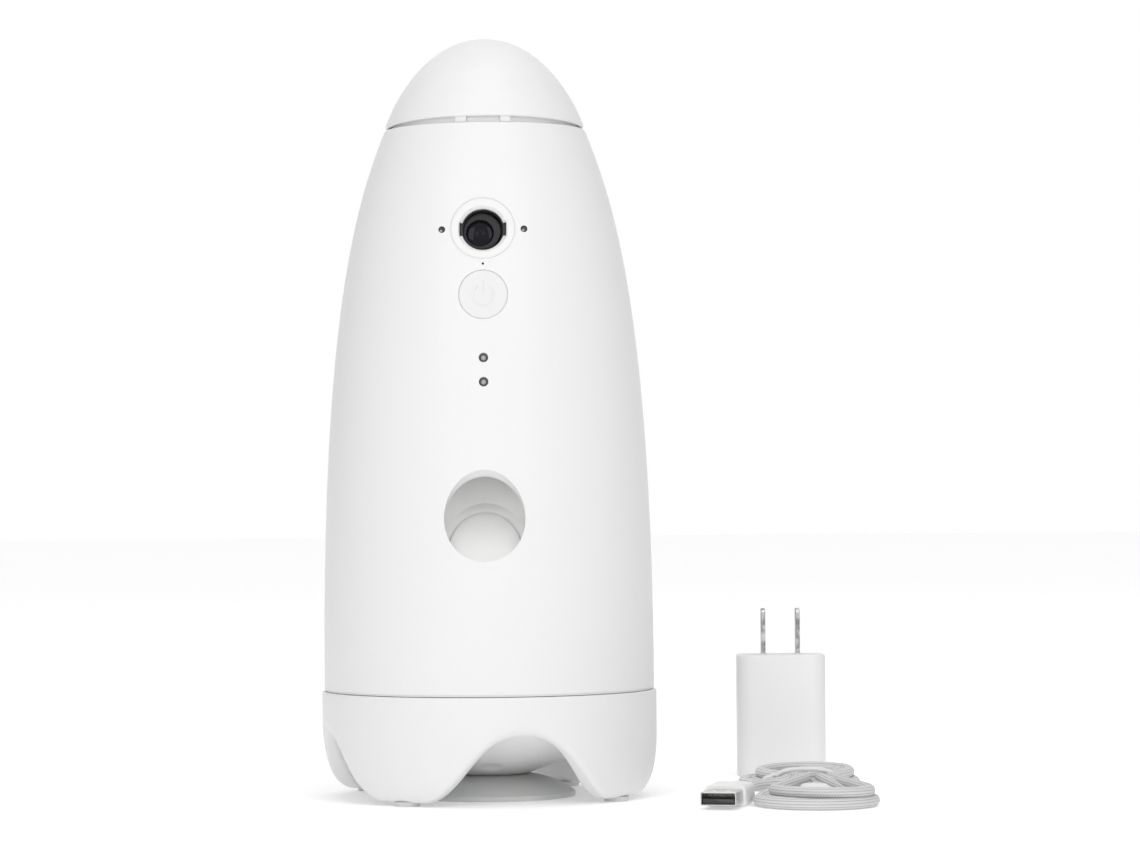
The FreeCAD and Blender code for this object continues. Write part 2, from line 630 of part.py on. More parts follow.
def tower_floor():
    top = FLOOR_BOTTOM + FLOOR_THICK
    floor = cylinder(BODY_BOTTOM_R - BODY_WALL - GAP, FLOOR_BOTTOM, top)
    floor = floor.fuse(cylinder(HUB_R + 1, top - 1, SUN_BOTTOM - 0.1))
    floor = floor.cut(cylinder(SPINDLE_R + RUNNING, FLOOR_BOTTOM - 1, SUN_BOTTOM))
    for k in range(4):
        at = heading(45 + 90 * k, FLOOR_SCREW_RING)
        floor = floor.cut(cylinder(SCREW_R + SNUG, FLOOR_BOTTOM - 1, top + 1, at.x, at.y))
    return floor


def chassis_posts():
    posts = []
    for x, y in POSTS:
        post = cylinder(POST_R, FLOOR_BOTTOM + FLOOR_THICK, FEED_FLOOR, x, y)
        posts.append(post.cut(cylinder(POST_SCREW_R + SNUG, FEED_FLOOR - 12, FEED_FLOOR + 1, x, y)))
    return posts


# ================================================================ pan drive
PAN_AT = heading(PAN_PHI, PAN_MODULE * (SUN_TEETH + PAN_TEETH) / 2 + MESH_EASE)
BRACKET_TOP = SUN_TOP + 0.9 + BRACKET_THICK


def pan_pinion():
    facing = PAN_PHI - 90.0 + 180.0 + 180.0 / PAN_TEETH
    wheel = gear(PAN_MODULE, PAN_TEETH, SUN_BOTTOM + 0.2, SUN_TOP - 0.2, 0, facing, PAN_AT.x, PAN_AT.y)
    return fused(wheel, cylinder(MOTOR_SHAFT_R, SUN_BOTTOM + 0.2, BRACKET_TOP + 5, PAN_AT.x, PAN_AT.y))


def pan_motor():
    radius, tall = PAN_GEARBOX
    body = cylinder(radius, BRACKET_TOP, BRACKET_TOP + tall, PAN_AT.x, PAN_AT.y)
    can = cylinder(PAN_CAN[0], BRACKET_TOP + tall - 1, BRACKET_TOP + tall + PAN_CAN[1], PAN_AT.x, PAN_AT.y)
    whole = rounded_circles(fused(body, can), 0.8, lambda e: e.Curve.Center.z > BRACKET_TOP + 1)
    shaft_hole = cylinder(MOTOR_SHAFT_R + RUNNING, BRACKET_TOP - 1, BRACKET_TOP + 5.5, PAN_AT.x, PAN_AT.y)
    return whole.cut(shaft_hole)


def pan_bracket():
    """A bridge over the pinion, standing on the tower floor."""
    span, width = 14.0, 8.0
    floor_top = FLOOR_BOTTOM + FLOOR_THICK
    bridge = box(-span - 2, span + 2, -width, width, BRACKET_TOP - BRACKET_THICK, BRACKET_TOP)
    for side in (-1, 1):
        edge = sorted((side * span, side * (span + 2)))
        bridge = bridge.fuse(box(edge[0], edge[1], -width, width, floor_top, BRACKET_TOP))
    bridge = bridge.cut(cylinder(MOTOR_SHAFT_R + 1, floor_top, BRACKET_TOP + 1))
    bridge.rotate(V(0, 0, 0), UP, PAN_PHI)
    bridge.translate(V(PAN_AT.x, PAN_AT.y, 0))
    return bridge


# ================================================================ feed
WHEEL_BOTTOM = FEED_FLOOR + FEED_FLOOR_THICK + SEAT
FEED_GEAR_TOP = FEED_FLOOR - 0.6
FEED_MOTOR_Y = FEED_Y + FEED_MODULE * (FEED_TEETH + FEED_PINION_TEETH) / 2 + MESH_EASE
FEED_BRACKET_TOP = FEED_GEAR_TOP - FEED_GEAR_THICK - 0.6


def hopper_floor():
    top = FEED_FLOOR + FEED_FLOOR_THICK
    floor = cylinder(FEED_FLOOR_R, FEED_FLOOR, top, 0, FEED_Y)
    floor = floor.cut(box(-FAR, FAR, -FAR, FEED_FLOOR_FRONT, 0, HIGH))
    floor = floor.cut(cylinder(FEED_SHAFT_R + RUNNING, 0, HIGH, 0, FEED_Y))
    floor = floor.cut(cylinder(POCKET_R + 1, 0, HIGH, 0, FEED_Y - POCKET_RING))
    for x, y in POSTS:
        floor = floor.cut(cylinder(POST_SCREW_R + SNUG, 0, HIGH, x, y))
    return floor


def feed_wheel():
    """The dosing wheel: six pockets, and a cone with a finger that keeps the treats moving."""
    top = WHEEL_BOTTOM + WHEEL_THICK
    wheel = cylinder(WHEEL_R, WHEEL_BOTTOM, top, 0, FEED_Y)
    cone = Part.makeCone(AGITATOR_R, 2.0, AGITATOR_TALL, V(0, FEED_Y, top))
    finger = rod(1.6, V(0, FEED_Y, top + 3), V(0, FEED_Y + 17, top + 7))
    wheel = fused(wheel, cone, finger)
    for k in range(POCKETS):
        at = heading(360.0 / POCKETS * k, POCKET_RING)
        wheel = wheel.cut(cylinder(POCKET_R, WHEEL_BOTTOM - 1, top + 1, at.x, FEED_Y + at.y))
    return wheel.cut(cylinder(FEED_SHAFT_R + SNUG, 0, WHEEL_BOTTOM + 8, 0, FEED_Y))


def feed_shaft():
    return cylinder(FEED_SHAFT_R, FEED_GEAR_TOP - FEED_GEAR_THICK - 0.4, WHEEL_BOTTOM + 7.8, 0, FEED_Y)


def feed_gear():
    return gear(FEED_MODULE, FEED_TEETH, FEED_GEAR_TOP - FEED_GEAR_THICK, FEED_GEAR_TOP,
                FEED_SHAFT_R + SNUG, 90.0, 0, FEED_Y)


def feed_pinion():
    low = FEED_GEAR_TOP - FEED_GEAR_THICK
    wheel = gear(FEED_MODULE, FEED_PINION_TEETH, low + 0.2, FEED_GEAR_TOP - 0.2, 0,
                 270.0 + 180.0 / FEED_PINION_TEETH, 0, FEED_MOTOR_Y)
    return fused(wheel, cylinder(MOTOR_SHAFT_R, FEED_BRACKET_TOP - 6, FEED_GEAR_TOP - 0.2, 0, FEED_MOTOR_Y))


def feed_motor():
    width, depth, tall = FEED_MOTOR
    top = FEED_BRACKET_TOP - BRACKET_THICK
    gearbox = rounded_block(width, depth, top - tall * 0.4, top, 0.8, 0, FEED_MOTOR_Y)
    can = rounded_block(width, depth - 0.4, top - tall, top - tall * 0.4 + 0.1, 3.6, 0, FEED_MOTOR_Y)
    return fused(gearbox, can).cut(cylinder(MOTOR_SHAFT_R + RUNNING, top - 5, top + 1, 0, FEED_MOTOR_Y))


def feed_bracket():
    """Hangs from the hopper floor and carries the feed motor."""
    half, leg = 12.0, 2.0
    y0, y1 = FEED_MOTOR_Y - 7, FEED_MOTOR_Y + 7
    plate = box(-half - leg, half + leg, y0, y1, FEED_BRACKET_TOP - BRACKET_THICK, FEED_BRACKET_TOP)
    legs = [box(min(s * half, s * (half + leg)), max(s * half, s * (half + leg)), y0, y1,
                FEED_BRACKET_TOP - BRACKET_THICK, FEED_FLOOR) for s in (1, -1)]
    return fused(plate, *legs).cut(cylinder(MOTOR_SHAFT_R + 1.5, 0, HIGH, 0, FEED_MOTOR_Y))


# ================================================================ hopper and lid
def bin_solid(grow):
    """The treat bin's inside when grow is 0, and its outside when grow is the wall."""
    inset = BODY_WALL + HOPPER_GAP + HOPPER_WALL - grow
    well_top = WHEEL_BOTTOM + WHEEL_THICK + 1.0
    low = Part.Wire(Part.makeCircle(WELL_R + grow, V(0, FEED_Y, well_top)))
    high = Part.Wire(Part.makeCircle(body_radius(FUNNEL_TOP) - inset, V(0, 0, FUNNEL_TOP)))
    funnel = Part.makeLoft([low, high], True, True)
    bulk = tower_solid(inset).common(box(-FAR, FAR, -FAR, FAR, FUNNEL_TOP, NECK_BOTTOM + 0.5 + grow))
    bulk = funnel.fuse(bulk).cut(box(-FAR, FAR, -FAR, HOPPER_FRONT - grow, 0, HIGH))
    well = cylinder(WELL_R + grow, FEED_FLOOR + FEED_FLOOR_THICK - (0 if grow else 1), well_top, 0, FEED_Y)
    neck = cylinder(NECK_R + grow, NECK_BOTTOM - grow, NECK_TOP + (0 if grow else 1))
    return bulk.fuse(well).fuse(neck)


def hopper():
    bottom = FEED_FLOOR + FEED_FLOOR_THICK
    flange = cylinder(FEED_FLOOR_R, bottom, bottom + FLANGE_THICK, 0, FEED_Y)
    flange = flange.cut(box(-FAR, FAR, -FAR, FEED_FLOOR_FRONT, 0, HIGH))
    collar_r = BODY_TOP_R - BODY_WALL - GAP
    collar = Part.makeCone(NECK_R + HOPPER_WALL, collar_r, 1.5, V(0, 0, COLLAR_BOTTOM - 1.5)).fuse(
        cylinder(collar_r, COLLAR_BOTTOM, BODY_TOP - 0.8))
    body = bin_solid(HOPPER_WALL).fuse(flange).fuse(collar)
    body = body.cut(bin_solid(0.0))
    for x, y in POSTS:
        body = body.cut(cylinder(POST_SCREW_R + SNUG, 0, bottom + FLANGE_THICK + 1, x, y))
    return body


def wiper_plate():
    """Covers the pocket over the drop hole, so that only one pocket empties at a time."""
    low = WHEEL_BOTTOM + WHEEL_THICK + SEAT
    drop_y = FEED_Y - POCKET_RING
    half = POCKET_R + 3
    plate = cylinder(half, low, low + 2, 0, drop_y).fuse(box(-half, half, -FAR, drop_y, low, low + 2))
    plate = plate.common(cylinder(WELL_R - 0.1, 0, HIGH, 0, FEED_Y))
    return plate.cut(box(-FAR, FAR, -FAR, HOPPER_FRONT + 0.1, 0, HIGH))


def lid_dome():
    def side(inset):
        r = LID_R - inset
        return [(r, LID_BOTTOM), (r - LID_SLOPE * LID_HANDLE, LID_BOTTOM + LID_HANDLE),
                (LID_CROWN - inset * 0.6, LID_TOP - inset), (0, LID_TOP - inset)]

    def dome(inset):
        closing = line((0, LID_TOP - inset), (0, LID_BOTTOM), (LID_R - inset, LID_BOTTOM))
        return turned([curve(side(inset))] + closing)

    outer = rounded_circles(dome(0), 0.9, lambda e: abs(e.Curve.Center.z - LID_BOTTOM) < 0.01)
    return outer.cut(dome(LID_WALL))


def lid_plug():
    """The inner cap that closes the dome and slides into the neck."""
    top = LID_BOTTOM + 2.2
    flange = cylinder(PLUG_FLANGE_R - 0.6, NECK_TOP + SNUG, top)
    skirt = cylinder(PLUG_R, PLUG_BOTTOM, top)
    groove = ring(PLUG_R + 5, PLUG_R - 0.8, SEAL_Z[0], SEAL_Z[1])
    plug = fused(flange, skirt).cut(groove)
    return plug.cut(cylinder(PLUG_R - PLUG_WALL - 0.8, PLUG_BOTTOM - 1, top - PLUG_WALL))


def lid_seal():
    """A silicone ring with two soft ribs, in the plug's groove."""
    inner, outer = PLUG_R - 0.8 + SNUG, NECK_R - 0.15
    low, high = SEAL_Z[0] + SNUG, SEAL_Z[1] - SNUG
    mid = (low + high) / 2
    root = outer - SEAL_RIB
    edges = line((inner, high), (inner, low), (root, low))
    ribs = [Part.Arc(V(root, 0, a), V(outer, 0, (a + b) / 2), V(root, 0, b)).toShape()
            for a, b in ((low, mid), (mid, high))]
    return turned(edges + ribs + line((root, high), (inner, high)))


# ================================================================ camera and face
def ear_block(grow, start, end):
    """The lens holder's two side ears, along the lens's axis."""
    side = V(EAR[0] + grow, 0, 0)
    up = CAMERA_OUT.cross(V(1, 0, 0)).normalize() * (EAR[1] + grow)
    a = along_camera(start)
    corners = [a - side - up, a + side - up, a + side + up, a - side + up]
    return prism(corners, along_camera(end) - a)


def camera_bezel():
    """The white ring round the lens, with the sleeve that holds the lens holder."""
    front = rod(BEZEL_R, along_camera(-4), along_camera(BEZEL_THICK)).common(tower_solid(-0.15))
    bezel = front.fuse(rod(SLEEVE_R, along_camera(BEZEL_THICK - 1), along_camera(HOLDER_BACK - 4)))
    bezel = bezel.cut(rod(BEZEL_BORE, along_camera(-5), along_camera(HOLDER_BACK)))
    wide = BEZEL_BORE + BEZEL_CHAMFER + 0.8
    lead_in = Part.makeCone(wide, BEZEL_BORE, 1.0, along_camera(-0.4), CAMERA_OUT * -1)
    return bezel.cut(lead_in).cut(ear_block(SNUG, -5, HOLDER_BACK))


def camera_holder():
    body = rod(HOLDER_R, along_camera(HOLDER_FRONT), along_camera(HOLDER_BACK))
    holder = fused(body, ear_block(0, HOLDER_FRONT, HOLDER_BACK - 0.5))
    return holder.cut(rod(BARREL_R + SNUG, along_camera(0), along_camera(HOLDER_BACK - 1)))


def lens_barrel():
    barrel = rod(BARREL_R, along_camera(BARREL_FRONT), along_camera(HOLDER_BACK - 1.2))
    front = along_camera(BARREL_FRONT)
    hood = Part.makeCone(GLASS_R + 0.7, GLASS_R, GLASS_FRONT - BARREL_FRONT, front, CAMERA_OUT * -1)
    return barrel.cut(hood).cut(rod(GLASS_R, along_camera(GLASS_FRONT), along_camera(GLASS_FRONT + 2.5)))


def lens_glass():
    """A domed front lens, sunk in the barrel."""
    ball = 7.5
    back = along_camera(GLASS_FRONT + 2.4)
    disc = rod(GLASS_R - 0.03, back, along_camera(GLASS_FRONT - 1))
    return disc.common(Part.makeSphere(ball, along_camera(GLASS_FRONT + ball - 0.6)))


def camera_board():
    width, height, thick = CAMERA_BOARD
    a = along_camera(HOLDER_BACK + 0.05)
    up = CAMERA_OUT.cross(V(1, 0, 0)).normalize() * height / 2
    side = V(width / 2, 0, 0)
    return prism([a - side - up, a + side - up, a + side + up, a - side + up], CAMERA_OUT * -thick)


def ir_leds():
    """Two small infrared lamps on the camera board, each behind its hole in the shell."""
    lamps = []
    for side in (1, -1):
        front = face_point(CAMERA_Z, side * IR_X) + V(0, 1.1, 0)
        tail_y = along_camera(HOLDER_BACK).y - 0.3
        lamp = rod(IR_R - 0.08, front, V(front.x, tail_y, front.z))
        lamps.append(fused(lamp, Part.makeSphere(IR_R - 0.08, front)))
    return lamps


def microphone():
    """The microphone's rubber boot, from the pinhole back to the main board."""
    front = -body_radius(MIC_Z - MIC_R) + BODY_WALL + 2.4
    boot = rod(MIC_R, V(0, front, MIC_Z), V(0, BOARD_FRONT, MIC_Z))
    return boot.cut(rod(MIC_HOLE_R + 0.2, V(0, front - 1, MIC_Z), V(0, front + 6, MIC_Z)))


def power_button():
    """A round button flush with the shell, with a sunk power mark and a stem to its switch."""
    outside = tower_solid(0.05)
    cap = front_rod(BUTTON_R, BUTTON_Z).common(outside)
    cap = cap.cut(tower_solid(0.05 + BUTTON_THICK))
    stem_end = V(0, BOARD_FRONT - SWITCH_TALL - 0.1 - BUTTON_TRAVEL, BUTTON_Z)
    stem = rod(BUTTON_STEM_R, V(0, -body_radius(BUTTON_Z) + 1.5, BUTTON_Z), stem_end)
    button = fused(cap, stem)
    sunk = outside.cut(tower_solid(0.05 + MARK_DEPTH))
    low = BUTTON_Z - 0.3
    mark = front_rod(MARK_R + MARK_LINE / 2, low).cut(front_rod(MARK_R - MARK_LINE / 2, low))
    mark = mark.cut(box(-1.9, 1.9, -FAR, 0, BUTTON_Z, BUTTON_Z + 6))
    bar = box(-MARK_LINE / 2, MARK_LINE / 2, -FAR, 0, BUTTON_Z, BUTTON_Z + 4.6)
    return button.cut(mark.fuse(bar).common(sunk))


def tact_switch():
    body = box(-3, 3, BOARD_FRONT - 2.6, BOARD_FRONT, BUTTON_Z - 3, BUTTON_Z + 3)
    return fused(body, rod(1.6, V(0, BOARD_FRONT - 2.6, BUTTON_Z), V(0, BOARD_FRONT - SWITCH_TALL, BUTTON_Z)))


def main_board():
    back = BOARD_FRONT + BOARD_THICK
    board = box(-BOARD_WIDE / 2, BOARD_WIDE / 2, BOARD_FRONT, back, BOARD_BOTTOM, BOARD_TOP)
    for x, z in BOARD_SCREWS:
        board = board.cut(rod(1.0 + SNUG, V(x, BOARD_FRONT - 1, z), V(x, back + 1, z)))
    return board


def tower_screws():
    """The screws of the tower's floor, of the hopper and of the main board."""
    back, top = BOARD_FRONT + BOARD_THICK, FEED_FLOOR + FEED_FLOOR_THICK + FLANGE_THICK
    corners = [heading(45 + 90 * k, FLOOR_SCREW_RING) + V(0, 0, FLOOR_BOTTOM) for k in range(4)]
    screws = [screw(2.4, 1.6, SCREW_R, 11.0, seat, UP) for seat in corners]
    screws += [screw(2.7, 2.0, POST_SCREW_R, 15.0, V(x, y, top), UP * -1) for x, y in POSTS]
    return screws + [screw(1.9, 1.3, 1.0, 7.0, V(x, back, z), FRONT) for x, z in BOARD_SCREWS]


def light_pipes():
    """Clear rods from the status lamps to the two windows under the button, with rounded ends."""
    pipes = []
    for z in WINDOW_Z:
        front = V(0, -body_radius(z) + 1.5, z)
        pipe = rod(WINDOW_R - 0.05, front, V(0, BOARD_FRONT - 2.0, z))
        pipes.append(fused(pipe, Part.makeSphere(WINDOW_R - 0.05, front)))
    return pipes


def board_parts():
    """The radio module, the processor and the two status lamps behind the windows."""
    low = BOARD_BOTTOM + 14.0
    radio = box(5, 16, BOARD_FRONT - 2.4, BOARD_FRONT, low, low + 16)
    processor = box(-15, -4, BOARD_FRONT - 1.6, BOARD_FRONT, low + 2, low + 13)
    lamps = [box(-1.2, 1.2, BOARD_FRONT - 1.9, BOARD_FRONT, z - 1, z + 1) for z in WINDOW_Z]
    return [radio, processor] + lamps


# ================================================================ outlet and kicker
def channel(radius, z0, z1):
    """The launching channel's outline: a round back, open towards the front."""
    return fused(cylinder(radius, z0, z1, 0, CHANNEL_Y), box(-radius, radius, -FAR, CHANNEL_Y, z0, z1))


def chute_section(grow, y_low):
    """The chute's side view, as points, from the drop hole down to the channel."""
    back_z = FEED_FLOOR - 5.6
    floor_z = back_z - (CHUTE_BACK - y_low) * CHUTE_SLOPE
    roof = FEED_FLOOR - (CHUTE_FRONT - y_low) * CHUTE_ROOF_SLOPE
    return [(CHUTE_BACK + grow, FEED_FLOOR), (CHUTE_BACK + grow, back_z - grow), (y_low, floor_z - grow),
            (y_low, roof + grow), (CHUTE_FRONT - grow, FEED_FLOOR)]


def chute_prism(grow, y_low):
    half = CHUTE_HALF + grow
    return prism([V(-half, y, z) for y, z in chute_section(grow, y_low)], V(2 * half, 0, 0))


def drop_chute():
    """Slides the treats from the feed wheel into the launching channel."""
    chute = chute_prism(CHUTE_WALL, CHANNEL_Y).cut(chute_prism(0.0, CHANNEL_Y - 5))
    chute = chute.cut(box(-FAR, FAR, -FAR, FAR, FEED_FLOOR - 0.05, HIGH))
    return chute.cut(channel(CHANNEL_R + CHANNEL_WALL + SNUG, 0, HIGH))


def launch_channel():
    """The walls behind the outlet: a round back with the chute's window, on a pedestal."""
    outer = CHANNEL_R + CHANNEL_WALL
    walls = channel(outer, CHANNEL_BOTTOM, CHANNEL_TOP)
    walls = walls.cut(channel(CHANNEL_R, CHANNEL_BOTTOM + CHANNEL_WALL, CHANNEL_TOP - CHANNEL_WALL))
    half_x, half_z = SOLENOID_HALF
    high = KICKER_PIVOT[1] + PLUNGER_HIGH
    pad_back = SOLENOID_Y[0] - SNUG
    pad = box(-half_x, half_x, CHANNEL_Y + 10, pad_back, high - half_z, high + half_z - CHUTE_WALL)
    pad = pad.cut(channel(CHANNEL_R, 0, HIGH))
    floor_top = FLOOR_BOTTOM + FLOOR_THICK
    pedestal = box(-12, 12, CHANNEL_Y + 2, CHANNEL_Y + outer, floor_top, CHANNEL_BOTTOM)
    pedestal = pedestal.cut(box(-10, 10, CHANNEL_Y + 4, 0, floor_top - 1, CHANNEL_BOTTOM - 6))
    whole = fused(walls, pad, pedestal).common(tower_solid(BODY_WALL + SEAT, 0, 0))
    whole = whole.cut(chute_prism(0.0, CHANNEL_Y - 5))
    pin_y, pin_z = KICKER_PIVOT
    whole = whole.cut(rod(PIN_R + SNUG, V(-FAR, pin_y, pin_z), V(FAR, pin_y, pin_z)))
    return whole.cut(rod(PLUNGER_R + 0.4, V(0, CHANNEL_Y, high), V(0, 0, high)))


def kicker():
    """The tilted plate that flips a treat out. It swings about the pin at its front edge."""
    pin_y, pin_z = KICKER_PIVOT
    lean = math.radians(KICKER_LEAN)
    along = V(0, math.cos(lean), math.sin(lean))
    off = V(0, -math.sin(lean), math.cos(lean)) * (KICKER_THICK / 2)
    pin = V(-FAR, pin_y, pin_z)
    low, high = pin - along * KICKER_FRONT, pin + along * FAR
    slab = prism([low - off, high - off, high + off, low + off], V(2 * FAR, 0, 0))
    plate = slab.common(channel(CHANNEL_R - KICKER_EASE, 0, HIGH))
    half = math.sqrt((CHANNEL_R - KICKER_EASE) ** 2 - (pin_y + KICKER_BARREL_R - CHANNEL_Y) ** 2)
    barrel = rod(KICKER_BARREL_R, V(-half, pin_y, pin_z), V(half, pin_y, pin_z))
    return fused(plate, barrel).cut(rod(PIN_R + RUNNING, V(-FAR, pin_y, pin_z), V(FAR, pin_y, pin_z)))


def kicker_pin():
    half = CHANNEL_R + CHANNEL_WALL
    return rod(PIN_R, V(-half, *KICKER_PIVOT), V(half, *KICKER_PIVOT))


def solenoid_frame():
    """A bent steel frame, open at the sides, bolted to the back of the channel."""
    half_x, half_z = SOLENOID_HALF
    high = KICKER_PIVOT[1] + PLUNGER_HIGH
    y0, y1 = SOLENOID_Y
    frame = box(-half_x, half_x, y0, y1, high - half_z, high + half_z)
    low, top = high - half_z + 1.2, high + half_z - 1.2
    frame = frame.cut(box(-half_x - 1, half_x + 1, y0 + FRAME_THICK, y1 - FRAME_THICK, low, top))
    return frame.cut(rod(PLUNGER_R + 0.3, V(0, y0 - 1, high), V(0, y1 + 1, high)))


def solenoid_coil():
    high = KICKER_PIVOT[1] + PLUNGER_HIGH
    y0, y1 = SOLENOID_Y[0] + FRAME_THICK, SOLENOID_Y[1] - FRAME_THICK
    coil = rod(COIL_R - 0.6, V(0, y0, high), V(0, y1, high))
    cheeks = [rod(COIL_R, V(0, a, high), V(0, b, high)) for a, b in ((y0, y0 + 1.2), (y1 - 1.2, y1))]
    return fused(coil, *cheeks).cut(rod(PLUNGER_R + 0.2, V(0, y0 - 1, high), V(0, y1 + 1, high)))


def plunger():
    """The solenoid's core, with a ball nose behind the kicker and a clip at the tail."""
    high = KICKER_PIVOT[1] + PLUNGER_HIGH
    nose, tail = V(0, PLUNGER_BALL_Y, high), V(0, PLUNGER_TAIL + 1.6, high)
    core = fused(rod(PLUNGER_R, nose, tail), Part.makeSphere(PLUNGER_R, nose))
    return fused(core, rod(SPRING_R + 1.2, V(0, PLUNGER_TAIL, high), V(0, PLUNGER_TAIL + 1.2, high)))


def plunger_spring():
    """A light spring round the plunger's tail, between the frame and the clip."""
    high = KICKER_PIVOT[1] + PLUNGER_HIGH
    start, end = SOLENOID_Y[1] + SPRING_WIRE + 0.1, PLUNGER_TAIL - SPRING_WIRE - 0.1
    helix = Part.makeHelix((end - start) / SPRING_TURNS, end - start, SPRING_R - 0.3)
    wire = Part.Wire(Part.makeCircle(SPRING_WIRE, V(SPRING_R - 0.3, 0, 0), V(0, 1, 0)))
    spring = Part.Wire(helix.Edges).makePipeShell([wire], True, True)
    spring.rotate(V(0, 0, 0), V(1, 0, 0), -90)
    spring.translate(V(0, start, high))
    return spring


# ================================================================ sound and power
def speaker():
    """A small round loudspeaker, facing the holes in the back of the shell."""
    front, back = SPEAKER_Y[1], SPEAKER_Y[0]
    basket = rod(SPEAKER_R, V(0, back, SPEAKER_Z), V(0, front, SPEAKER_Z))
    dish = Part.makeCone(SPEAKER_R - 2.5, 5.0, 3.0, V(0, front, SPEAKER_Z), FRONT)
    magnet = rod(SPEAKER_R * 0.56, V(0, back - 6, SPEAKER_Z), V(0, back + 1, SPEAKER_Z))
    cap = Part.makeSphere(5.2, V(0, front - 6.0, SPEAKER_Z))
    return fused(basket.cut(dish), magnet, cap.common(basket))


def inlet_socket():
    """The USB-C receptacle in the back of the tower."""
    width, height, long = INLET
    mouth = body_radius(INLET_Z) - 0.7
    shell = slot_block(width, height, V(0, mouth - long, INLET_Z), V(0, mouth, INLET_Z))
    back, front = V(0, mouth - long + 1, INLET_Z), V(0, mouth + 1, INLET_Z)
    hollow = slot_block(width - 0.6, height - 0.6, back, front)
    tongue = box(-3.35, 3.35, mouth - long, mouth - 1.2, INLET_Z - 0.35, INLET_Z + 0.35)
    return fused(shell.cut(hollow), tongue)


def inlet_board():
    width, depth, thick = INLET_BOARD
    top = INLET_Z - INLET[1] / 2 - 0.02
    y1 = BODY_BOTTOM_R - BODY_WALL - 2.0
    board = box(-width / 2, width / 2, y1 - depth, y1, top - thick, top)
    floor_top = FLOOR_BOTTOM + FLOOR_THICK
    feet = [cylinder(2.5, floor_top, top - thick, s * (width / 2 - 3), y1 - depth + 4) for s in (1, -1)]
    return fused(board, *feet)


# ================================================================ adapter
def standing_bar(width, depth, z0, z1, x, y):
    return box(x - width / 2, x + width / 2, y - depth / 2, y + depth / 2, z0, z1)


def prong_places():
    return [ADAPTER_AT[0] + side * PRONG_APART / 2 for side in (1, -1)]


def adapter_shell():
    width, depth, tall = ADAPTER
    x, y = ADAPTER_AT
    outer = rounded_block(width, depth, 0, tall, ADAPTER_ROUND, x, y)
    rims = [e for e in outer.Edges if e.BoundBox.ZLength < 0.01]
    outer = outer.makeFillet(0.5, rims)
    wall = ADAPTER_WALL
    inner = rounded_block(width - 2 * wall, depth - 2 * wall, wall, tall - wall, ADAPTER_ROUND - wall, x, y)
    shell = outer.cut(inner)
    slot = (PRONG[0] + 2 * SNUG, PRONG[1] + 2 * SNUG)
    for px in prong_places():
        shell = shell.cut(standing_bar(*slot, tall - wall - 1, tall + 1, px, y))
    mouth = (PORT[0] + 2 * SNUG, PORT[1] + 2 * SNUG)
    return shell.cut(standing_bar(*mouth, -1, wall + 1, x, y))


def adapter_prongs():
    """Two flat blades with rounded ends."""
    blades, top = [], ADAPTER[2] + PRONG[2]
    for px in prong_places():
        blade = standing_bar(PRONG[0], PRONG[1], ADAPTER[2] - 6, top, px, ADAPTER_AT[1])
        corners = [e for e in blade.Edges if e.BoundBox.ZMin > top - 0.01 and e.BoundBox.YLength < 0.01]
        blades.append(blade.makeFillet(1.4, corners))
    return blades


def adapter_socket():
    """The adapter's USB-A port: a sheet metal box with a tongue, in the foot of the adapter."""
    x, y = ADAPTER_AT
    socket = standing_bar(*PORT, 0.4, 14, x, y)
    socket = socket.cut(standing_bar(PORT[0] - 0.7, PORT[1] - 0.7, 0, 13, x, y))
    return fused(socket, box(x - 5.5, x + 5.5, y - 0.2, y + 1.6, 2.0, 13.5))


# ================================================================ lead
def flat_spline(points):
    """A closed outline on the floor, raised to the hank's height."""
    spline = Part.BSplineCurve()
    spline.interpolate([V(HANK_AT[0] + x, HANK_AT[1] + y, 0) for x, y in points], PeriodicFlag=True)
    return Part.Face(Part.Wire(spline.toShape())).extrude(V(0, 0, HANK_TALL))


# The hank's outer edge and its two eyes, from above, measured from the tie.
HANK_EDGE = [(0, 63), (-14, 59), (-21, 44), (-17, 22), (-8.6, 2), (-13, -22), (-20, -44), (-13, -59),
             (2, -63.5), (17, -57), (22, -41), (15, -18), (9.2, 2), (14, 24), (20.5, 45), (13, 59)]
UPPER_EYE = [(3, 46), (-4.5, 35), (-2.5, 22), (2, 10), (7, 18), (11, 33)]
LOWER_EYE = [(1, -13), (-5.5, -24), (-9, -38), (-7, -49), (1.5, -54), (10, -49), (11.5, -36), (8, -23)]


def cable_hank():
    """The tied hank of cord, as one solid with its two eyes."""
    outer, upper, lower = (flat_spline(points) for points in (HANK_EDGE, UPPER_EYE, LOWER_EYE))
    x, y = HANK_AT
    groove = box(x - 40, x + 40, y - TIE_R - 0.2, y + TIE_R + 0.2, -1, 2 * TIE_R + 0.4)
    cx = x + USB_C_AT[0]
    notch = box(cx - CORD_R - GAP, cx + CORD_R + GAP, y + USB_C_AT[1], y + USB_C_END, -1, HANK_TALL + 1)
    start, after = lead_points()[:2]
    way_out = Part.makeCylinder(CORD_R + SNUG, 14.0, start, after - start)
    return outer.cut(upper).cut(lower).cut(groove).cut(notch).cut(way_out)


# The loose end, from the tie to the plug, measured from the tie; the height is the cord's middle.
LEAD = [(-7.0, -3.2, 5.0), (-15.9, -5.9, 4.6), (-22.0, -12.5, 3.7), (-24.1, -21.6, 3.7)]


def lead_points():
    return [V(HANK_AT[0] + x, HANK_AT[1] + y, z) for x, y, z in LEAD]


